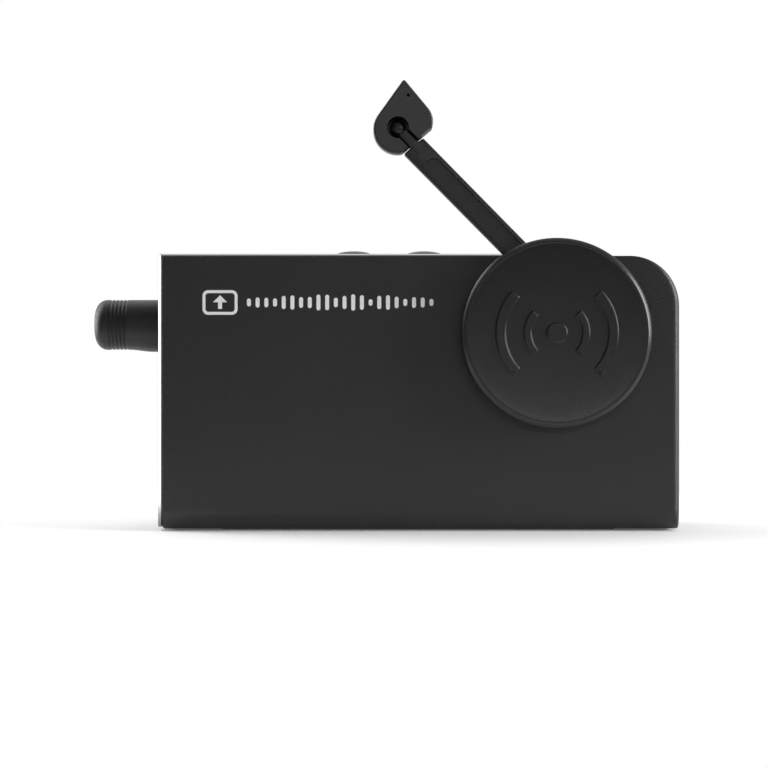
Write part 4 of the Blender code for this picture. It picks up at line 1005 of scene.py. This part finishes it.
def studio_world(scene):
    """White to the camera; as a light it is dim in front and bright behind."""
    world = bpy.data.worlds.new("studio")
    scene.world = world
    world.use_nodes = True
    tree = world.node_tree

    def node(kind, **values):
        made = tree.nodes.new(kind)
        for socket, value in values.items():
            made.inputs[socket.replace("_", " ")].default_value = value
        return made

    place, split = node("ShaderNodeTexCoord"), node("ShaderNodeSeparateXYZ")
    tree.links.new(place.outputs["Generated"], split.inputs[0])
    ramp = node("ShaderNodeMapRange", From_Min=-0.35, From_Max=0.5, To_Min=0.08, To_Max=0.85)
    tree.links.new(split.outputs["Y"], ramp.inputs["Value"])
    soft = tree.nodes["Background"]
    soft.inputs["Color"].default_value = (1, 1, 1, 1)
    tree.links.new(ramp.outputs[0], soft.inputs["Strength"])
    seen = node("ShaderNodeBackground", Color=(1, 1, 1, 1), Strength=1.0)
    rays, mix = node("ShaderNodeLightPath"), node("ShaderNodeMixShader")
    tree.links.new(rays.outputs["Is Camera Ray"], mix.inputs[0])
    tree.links.new(soft.outputs[0], mix.inputs[1])
    tree.links.new(seen.outputs[0], mix.inputs[2])
    tree.links.new(mix.outputs[0], tree.nodes["World Output"].inputs["Surface"])


# Name, size, brightness and place of each light, which faces the middle of the object.
LIGHTS = (
    ("overhead", (0.7, 0.5), 0.65, (-0.1, 0.32, 0.6)),
    ("overhead_front", (0.8, 0.3), 0.3, (0.0, -0.3, 0.65)),
    ("upper_left", (0.4, 0.45), 3.8, (-0.55, 0.18, 0.4)),
    ("left_strip", (0.35, 0.3), 6.0, (-0.6, 0.2, 0.08)),
    ("right_strip", (0.35, 0.4), 11.0, (0.6, -0.16, 0.22)),
    ("front_low_left", (0.3, 0.2), 0.4, (-0.4, -0.6, 0.02)),
    ("front_card", (0.9, 0.22), 0.25, (0.05, -0.75, 0.24)),
    ("disc_card", (0.35, 0.07), 3.5, (0.07, -0.75, 0.205)),
)
MIDDLE = (0.0, 0.0, 0.04)


class LIFTER_OT_stage(bpy.types.Operator):
    """Pale floor, soft studio light and the camera"""
    bl_idname = "lifter.stage"
    bl_label = "Stage"

    def execute(self, context):
        studio = settings("lifter_studio")
        scene = context.scene
        pale_floor()
        studio_world(scene)
        for name, size, radiance, position in LIGHTS:
            soft_light(name, size, radiance, position, MIDDLE)
        data = bpy.data.cameras.new("camera")
        data.lens, data.sensor_width = studio.lens, 36.0
        camera = bpy.data.objects.new("camera", data)
        scene.collection.objects.link(camera)
        camera.location = (-0.0073, FRONT * MM - studio.distance, studio.height)
        camera.rotation_euler = (QUARTER, 0.0, 0.0)
        scene.camera = camera
        scene.view_settings.view_transform = "Standard"
        return {"FINISHED"}


class LIFTER_PT_panel(bpy.types.Panel):
    """Buttons for each group of pieces"""
    bl_idname = "LIFTER_PT_panel"
    bl_label = "Handset Lifter"
    bl_space_type = "VIEW_3D"
    bl_region_type = "UI"
    bl_category = "Lifter"

    def draw(self, context):
        for name in ("lifter_case", "lifter_disc", "lifter_bar", "lifter_studio"):
            group = getattr(context.scene, name)
            for field in group.bl_rna.properties.keys():
                if field not in ("rna_type", "name"):
                    self.layout.prop(group, field)
        for operator in OPERATORS:
            self.layout.operator(operator.bl_idname)


GROUPS = {"lifter_case": CaseSettings, "lifter_disc": DiscSettings, "lifter_bar": BarSettings,
          "lifter_studio": StudioSettings}
OPERATORS = (LIFTER_OT_stage, LIFTER_OT_case, LIFTER_OT_print, LIFTER_OT_disc, LIFTER_OT_arm,
             LIFTER_OT_pod, LIFTER_OT_bar, LIFTER_OT_buttons, LIFTER_OT_works)


def register():
    for group in GROUPS.values():
        bpy.utils.register_class(group)
    for name, group in GROUPS.items():
        setattr(bpy.types.Scene, name, PointerProperty(type=group))
    for operator in OPERATORS:
        bpy.utils.register_class(operator)
    bpy.utils.register_class(LIFTER_PT_panel)


def unregister():
    bpy.utils.unregister_class(LIFTER_PT_panel)
    for operator in reversed(OPERATORS):
        bpy.utils.unregister_class(operator)
    for name, group in GROUPS.items():
        delattr(bpy.types.Scene, name)
        bpy.utils.unregister_class(group)


def main():
    """Register the add-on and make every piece."""
    register()
    for operator in ("stage", "case", "print", "disc", "arm", "pod", "bar", "buttons", "works"):
        getattr(bpy.ops.lifter, operator)()


if __name__ == "__main__":
    main()
